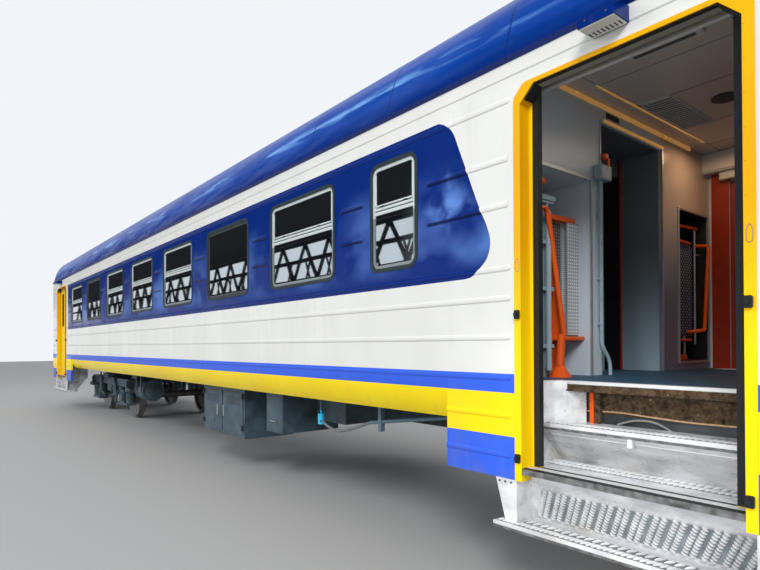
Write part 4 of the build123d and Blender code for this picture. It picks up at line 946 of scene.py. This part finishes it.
# Ceiling: grille, round vent, panel joints, and the door gear's housings
def add_ceiling_parts():
    grille, dark, housing, shadow = make_groups(
        "ceiling_grille pale_paint", "ceiling_dark dark_gear", "door_housings pale_paint",
        "housing_slots slot_grey")
    place(0, CEILING)
    rear, fore, right, left = 5.47, 5.72, -0.2, 0.6
    for y in (right, left - 0.012):
        grille.box((rear, y, -0.012), (fore, y + 0.012, 0))
    for x in (rear, fore - 0.012):
        grille.box((x, right, -0.012), (x + 0.012, left, 0))
    for index in range(18):
        y = right + 0.03 + index * 0.0425
        grille.box((rear, y, -0.009), (fore, y + 0.012, 0))
    grille.box((MASK - 0.8, -0.4, -0.012), (MASK - 0.4, 0.4, 0))
    dark.box((rear + 0.01, right + 0.01, -0.003), (fore - 0.01, left - 0.01, 0))
    dark.rod((5.955, 0.18, -0.012), (5.955, 0.18, 0), 0.095, 28)
    for y in (-0.76, -0.19, 0.6, 1.18):
        dark.box((PARTITION + 0.16, y - 0.002, -0.0015), (PARTITION + 1.98, y + 0.002, 0))
    for x in (PARTITION + 0.16, 6.4):
        dark.box((x - 0.002, -1.5, -0.0015), (x + 0.002, 1.5, 0))
    for door, middle, side in DOORS:
        place(middle, CEILING, side)
        housing.box((-0.98, 1.44, -0.2), (0.98, 1.565, 0), 0.02)
        housing.box((-0.3, 0.95, -0.03), (0.16, 1.06, 0), 0.008)
        shadow.box((-0.26, 0.985, -0.033), (0.12, 1.02, -0.029))


# Saloon: luggage racks, seat heads and two rows of ceiling lamps
def add_saloon():
    rack, lamps, pads = make_groups(
        "luggage_racks frame_metal smooth", "ceiling_lamps pale_paint", "seat_heads seat_cloth smooth")
    low, high = REAR + 2.4, PARTITION - 0.75
    for side in both_sides(0, RAIL):
        for y, z in ((1.3, 3.18), (1.42, 3.165), (1.54, 3.15)):
            rack.rod((low, y, z), (high, y, z), 0.01, 8)
        for index in range(7):
            place(REAR + 3.99 + index * WINDOW_PITCH, RAIL, side)
            rack.rod((0, 1.3, 3.18), (0, 1.66, 3.13), 0.009, 8)
        for index in range(6):
            place(WINDOWS[1][0] - (index + 0.5) * WINDOW_PITCH, FLOOR + 1.02, side)
            for y in (0.8, 1.13, 1.46):
                for way in SIDES:
                    pads.ball((way * 0.05, y, 0), (0.045, 0.145, 0.1), 12, 8)
        for index in range(10):
            place(REAR + 2.9 + index * 1.36, CEILING, side)
            lamps.box((-0.45, 0.49, -0.02), (0.45, 0.61, 0), 0.01)


# Running gear: coil springs, box covers, bolts, dampers, brake cylinders and levers, and wheel rims
def add_running_gear():
    for name, pivot in BOGIES:
        coils = Group("springs_" + name, "gear_paint", "bogie_" + name, True)
        covers = Group("box_covers_" + name, "gear_paint", "bogie_" + name)
        bolts = Group("box_bolts_" + name, "dark_gear", "bogie_" + name)
        for end, label in ((-1, "aft"), (1, "fore")):
            axle = pivot + end * AXLE_REACH
            rims = Group(f"wheel_rims_{name}_{label}", "rim_steel", f"wheelset_{name}_{label}", True)
            for side in both_sides(axle, AXLE_Z):
                rims.rod((0, 0.855, 0), (0, 0.8512, 0), 0.469, 64)
                add_axle_box_parts(covers, bolts, end)
                for way in SIDES:
                    coils.add(coil_form((axle + way * 0.3, side * 1.018, 0.403), 0.083, 0.052, 6, 0.015))
        for side in both_sides(pivot):
            covers.rod((-0.16, 1.02, 0.62), (0.16, 1.02, 0.62), 0.085, 20)
            covers.box((-0.2, 0.95, 0.6), (0.2, 1.09, 0.735), 0.02)
            bolts.rod((0.16, 1.02, 0.62), (0.3, 1.02, 0.6), 0.02, 8)
            for way in SIDES:
                add_lever_parts(covers, bolts, way)
        place(pivot)
        for low, high in ((1.1, 1.116), (-1.108, -1.092)):
            covers.box((-0.5, low, 0.75), (0.5, high, 0.87), 0.01)


def add_axle_box_parts(covers, bolts, end):
    covers.rod((0, 1.113, 0), (0, 1.133, 0), 0.118, 24)
    covers.rod((0, 1.133, 0), (0, 1.142, 0), 0.07, 20)
    for spot in range(6):
        angle = spot * math.pi / 3 + 0.3
        x, z = 0.098 * math.cos(angle), 0.098 * math.sin(angle)
        bolts.rod((x, 1.133, z), (x, 1.145, z), 0.01, 6)
    covers.rod((-end * 0.42, 1.135, -0.143), (-end * 0.47, 1.135, 0.297), 0.028, 14)
    bolts.rod((-end * 0.42, 1.1, -0.143), (-end * 0.42, 1.16, -0.143), 0.022, 10)


def add_lever_parts(covers, bolts, way):
    covers.rod((way * 0.62, 1.13, 0.86), (way * 0.62, 1.13, 0.52), 0.03, 12)
    covers.rod((way * 0.62, 1.13, 0.52), (way * 0.3, 1.13, 0.47), 0.024, 12)
    covers.box((way * 0.62 - 0.055, 1.1, 0.8), (way * 0.62 + 0.055, 1.16, 0.9), 0.01)
    covers.rod((way * 1.62, 1.09, 0.7), (way * 1.86, 1.09, 0.66), 0.05, 16)
    covers.box((way * 1.58 - 0.05, 1.04, 0.62), (way * 1.58 + 0.05, 1.14, 0.86), 0.012)
    bolts.rod((way * 0.3, 1.1, 0.47), (way * 0.3, 1.16, 0.47), 0.035, 12)
    bolts.rod((way * 1.2 - 0.2, 1.14, 0.7), (way * 1.2 + 0.2, 1.14, 0.7), 0.014, 8)


# Underfloor: doors, louvres and handles of the boxes, a brake tank on straps, and two cables
def add_underfloor():
    trim, plates, handles = make_groups(
        "box_trim dark_gear", "box_plates gear_paint", "box_handles frame_metal")
    face = 0.27 - HALF
    for way in SIDES:
        place(REAR + 11.11 + way * 0.32)
        handles.rod((-way * 0.22, face - 0.03, 0.7), (-way * 0.22, face - 0.03, 0.84), 0.009, 8)
        for z in (0.55, 0.95):
            trim.rod((way * 0.3, face - 0.012, z), (way * 0.3, face - 0.012, z + 0.07), 0.012, 8)
        for row in range(5):
            z = 0.87 + row * 0.022
            trim.box((-0.2, face - 0.004, z), (0.2, face + 0.001, z + 0.008))
        plates.box((-0.06, face - 0.003, 0.58), (0.06, face + 0.001, 0.66))
    for x, width, y, side, low in ((12.55, 0.34, 1.46, -1, 0.64), (12.7, 1.3, HALF - 0.29, 1, 0.56),
                                   (7.45, 1.3, HALF - 0.24, 1, 0.52)):
        place(REAR + x, 0, side)
        plates.box((-width / 2, y - 0.004, low), (width / 2, y + 0.004, SOLE - 0.06), 0.003)
        handles.rod((-0.06, y + 0.02, low + 0.12), (0.06, y + 0.02, low + 0.12), 0.008, 8)
    add_brake_tank()
    run = ((5.4, 0.98, -0.02), (9.0, 0.98, -0.06), (12.0, 0.98, -0.03), (15.4, 0.98, -0.02))
    for side in both_sides(REAR, SOLE):
        tube("cable_run_" + str(side), run, 0.018, "dark_gear")


def add_brake_tank():
    tank = Group("brake_tank", "gear_paint", smooth=True)
    y, z, size = -1.02, 0.74, 0.2
    place(REAR + 6.42)
    tank.rod((-0.26, y, z), (0.26, y, z), size, 32)
    for way in SIDES:
        tank.rod((way * 0.26, y, z), (way * 0.29, y, z), size + 0.012, 32)
        tank.rod((way * 0.29, y, z), (way * 0.33, y, z), size * 0.8, 32, 0.09)
        low, high = way * 0.15 - 0.02, way * 0.15 + 0.02
        for strap_y in (y - 0.215, y + 0.195):
            tank.box((low, strap_y, z), (high, strap_y + 0.02, SOLE - 0.01), 0.004)
        tank.rod((low, y, z), (high, y, z), size + 0.01, 32)


# Cab end and gangway end: wipers, handrails, tail lamps and hoses
def add_ends():
    wipers, rails, lamps = make_groups(
        "wipers black_rubber", "end_handrails frame_metal smooth", "tail_lamps red_paint")
    for side in both_sides(NOSE, RAIL):
        wipers.rod((-0.02, 0.7, 2.3), (-0.2, 0.25, 2.86), 0.012, 8)
        wipers.rod((-0.145, 0.16, 2.66), (-0.265, 0.34, 3.0), 0.009, 8)
    for side in both_sides(REAR):
        rails.rod((-0.045, 1.25, 1.5), (-0.045, 1.25, 2.5), 0.014)
        for z in (1.52, 2.48):
            rails.rod((-0.045, 1.25, z), (0.002, 1.25, z), 0.012)
        for z, size in ((3.55, 0.07), (1.55, 0.06)):
            lamps.rod((0.002, 1.4, z), (-0.03, 1.4, z), size, 20)
    for side in both_sides(MASK - 0.3):
        rails.rod((0, HALF + 0.055, 1.5), (0, HALF + 0.055, 2.55), 0.014)
        for z in (1.52, 2.53):
            rails.rod((0, HALF + 0.055, z), (0, HALF - 0.002, z), 0.012)
    place(REAR)
    for index, y in enumerate((-0.45, 0.5)):
        bends = ((0.1, y, 1.12), (-0.1, y, 1.08), (-0.22, y, 0.9), (-0.26, y * 0.9, 0.72))
        tube("end_hose_" + str(index), bends, 0.018, "black_rubber")


# Hanging hose, with the same points as the solid in part.py
HOSE_Y = -1.45
HANGER_X = REAR + 13.52
HOSE_POINTS = ((HANGER_X + 0.024, HOSE_Y, 0.83 + RAIL), (HANGER_X + 0.15, HOSE_Y, 0.772 + RAIL),
               (HANGER_X + 0.28, HOSE_Y, 0.757 + RAIL), (HANGER_X + 0.41, HOSE_Y, 0.772 + RAIL),
               (HANGER_X + 0.64, HOSE_Y, 0.838 + RAIL), (REAR + 14.34, HOSE_Y, 0.897 + RAIL))

# Plain materials: name, colour, roughness, metal, share of speckle, its scale, and grain
PLAIN = (
    ("hose_rubber", (0.16, 0.17, 0.18), 0.5, 0, 0.2, 30),
    ("black_rubber", (0.012, 0.014, 0.016), 0.55, 0, 0.3, 9, 0.15),
    ("gasket_rubber", (0.018, 0.032, 0.036), 0.45, 0, 0.2),
    ("frame_metal", (0.46, 0.5, 0.5), 0.35, 0.6, 0.1),
    ("vent_metal", (0.66, 0.72, 0.72), 0.35, 0.3),
    ("worn_metal", (0.2, 0.2, 0.22), 0.5, 0.3, 0.4, 14),
    ("wheel_steel", (0.14, 0.13, 0.12), 0.5, 0.6, 0.4),
    ("rim_steel", (0.3, 0.28, 0.26), 0.4, 0.8, 0.3),
    ("grip_sheet", (0.25, 0.29, 0.31), 0.4, 0.2, 0.3),
    ("pale_paint", (0.6, 0.62, 0.61), 0.4, 0, 0.06, 4),
    ("gear_paint", (0.052, 0.086, 0.108), 0.42, 0, 0.35, 6, 0.1),
    ("dark_gear", (0.045, 0.05, 0.055), 0.6, 0, 0.5, 5, 0.2),
    ("conduit_paint", (0.3, 0.4, 0.45), 0.3, 0, 0.08),
    ("orange_paint", ORANGE, 0.35, 0, 0.08),
    ("red_paint", (0.42, 0.03, 0.012), 0.35, 0, 0.1),
    ("desk_paint", (0.1, 0.12, 0.14), 0.5, 0, 0.1),
    ("header_paint", (0.25, 0.25, 0.21), 0.4),
    ("ceiling_paint", (0.62, 0.56, 0.5), 0.35, 0, 0.04, 2),
    ("door_inside", LEAF_INSIDE, 0.35, 0, 0.1),
    ("worn_edge", (0.12, 0.12, 0.12), 0.5, 0, 0.6, 20),
    ("well_edge", (0.2, 0.2, 0.19), 0.5),
    ("slot_grey", (0.1, 0.1, 0.09), 0.4),
    ("tan_hem", (0.42, 0.27, 0.15), 0.7, 0, 0.2, 40),
    ("floor_cover", (0.025, 0.085, 0.155), 0.55, 0, 0.25, 30, 0.2),
    ("seat_cloth", (0.05, 0.07, 0.16), 0.85, 0, 0.4, 60, 0.4),
)

# The material of each node of the part
LOOKS = {
    "wall_paint_and_light": "side_lower door_skirts window_piers window_headers cab_front rear_end_wall",
    "roof_paint_and_gleam": "roof_crown roof_coves",
    "cantrail_finish": "cantrails",
    "blue_paint_and_light": "door_lamps",
    "portal_finish": "door_posts door_heads",
    "gasket_rubber": "window_gaskets",
    "black_rubber": "gangway",
    "window_frame_finish": "window_frames",
    "window_pane": "window_glass",
    "cab_pane": "cab_glass",
    "lamp_lens": "head_lamps",
    "step_aluminium": "step_treads step_side_plates",
    "gear_paint": "battery_box equipment_boxes air_reservoirs bogie_front_frame bogie_rear_frame "
                  "bogie_front_axle_boxes bogie_rear_axle_boxes plough",
    "dark_gear": "underframe coupler_front coupler_rear bridge_plate door_rails",
    "fitting_paint": "hose_fittings",
    "wheel_steel": "wheelset_front_aft wheelset_front_fore wheelset_rear_aft wheelset_rear_fore",
    "panel_paint_and_light": "front_partition cab_bulkhead rear_partition pocket_linings vestibule_recesses "
                   "gangway_door",
    "ceiling_paint": "ceiling",
    "floor_cover": "floor",
    "seat_cloth": "seats",
    "desk_paint": "driver_desk",
    "lift_paint": "wheelchair_lift",
    "leaf_paint": " ".join(f"door_leaf_{door}_aft door_leaf_{door}_fore" for door, middle, side in DOORS),
}


def make_materials():
    for row in PLAIN:
        plain(*row)
    # Gold trim glows with a warm emission as painted golden light, though it is no lamp
    plain("gold_trim", (0.85, 0.52, 0.2), 0.25, 0.5, 0.1, Emission_Color=(0.9, 0.45, 0.12),
          Emission_Strength=0.22)
    paint("wall_paint_and_light", True)
    paint("blue_paint_and_light", False)
    inside_wall_paint_and_light("panel_paint_and_light", False)
    inside_wall_paint_and_light("passage_paint", True)
    pane_glass("cab_pane", (0.01, 0.014, 0.018), 0.97)
    pane_glass("lamp_lens", (0.2, 0.22, 0.24), 1.0)
    pane_glass("leaf_pane", (0.1, 0.13, 0.15), 0.5)
    checker_plate("silver_checker", (0.45, 0.48, 0.5), (0.92, 0.95, 0.97))
    checker_plate("brown_checker", (0.16, 0.12, 0.1), (0.4, 0.34, 0.3))
    for make in (roof_paint_and_gleam, cantrail_finish, portal_finish, window_frame_finish, mirror_glass, steel_tread,
                 fitting_paint, lift_paint, leaf_paint, insulation, dotted_cloth):
        make()


def repaint(material, names):
    for name in names.split():
        if name in nodes:
            node = nodes[name]
            if not node.material_slots:
                node.data.materials.append(material)
            for slot in node.material_slots:
                slot.material = material


make_camera()
make_world()
make_lights()
make_stage()
make_reflector()
make_materials()
for look, names in LOOKS.items():
    repaint(MATERIALS[look], names)

place()
route = tube("brake_hose_line", HOSE_POINTS, 0.014, "hose_rubber", rounding=6, order=4)
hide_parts("brake_hose")
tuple(HOSE_POINTS[0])

for add_parts in (add_rib_ends, add_vents, add_leaf_parts, add_doorway_outside, add_step_grip,
                  add_step_details, add_vestibule, add_lift_parts, add_niche, add_ceiling_parts, add_saloon,
                  add_running_gear, add_underfloor, add_ends):
    add_parts()
for group in Group.on_bodies:
    group.finish()

bpy.context.scene.view_settings.view_transform = "Standard"
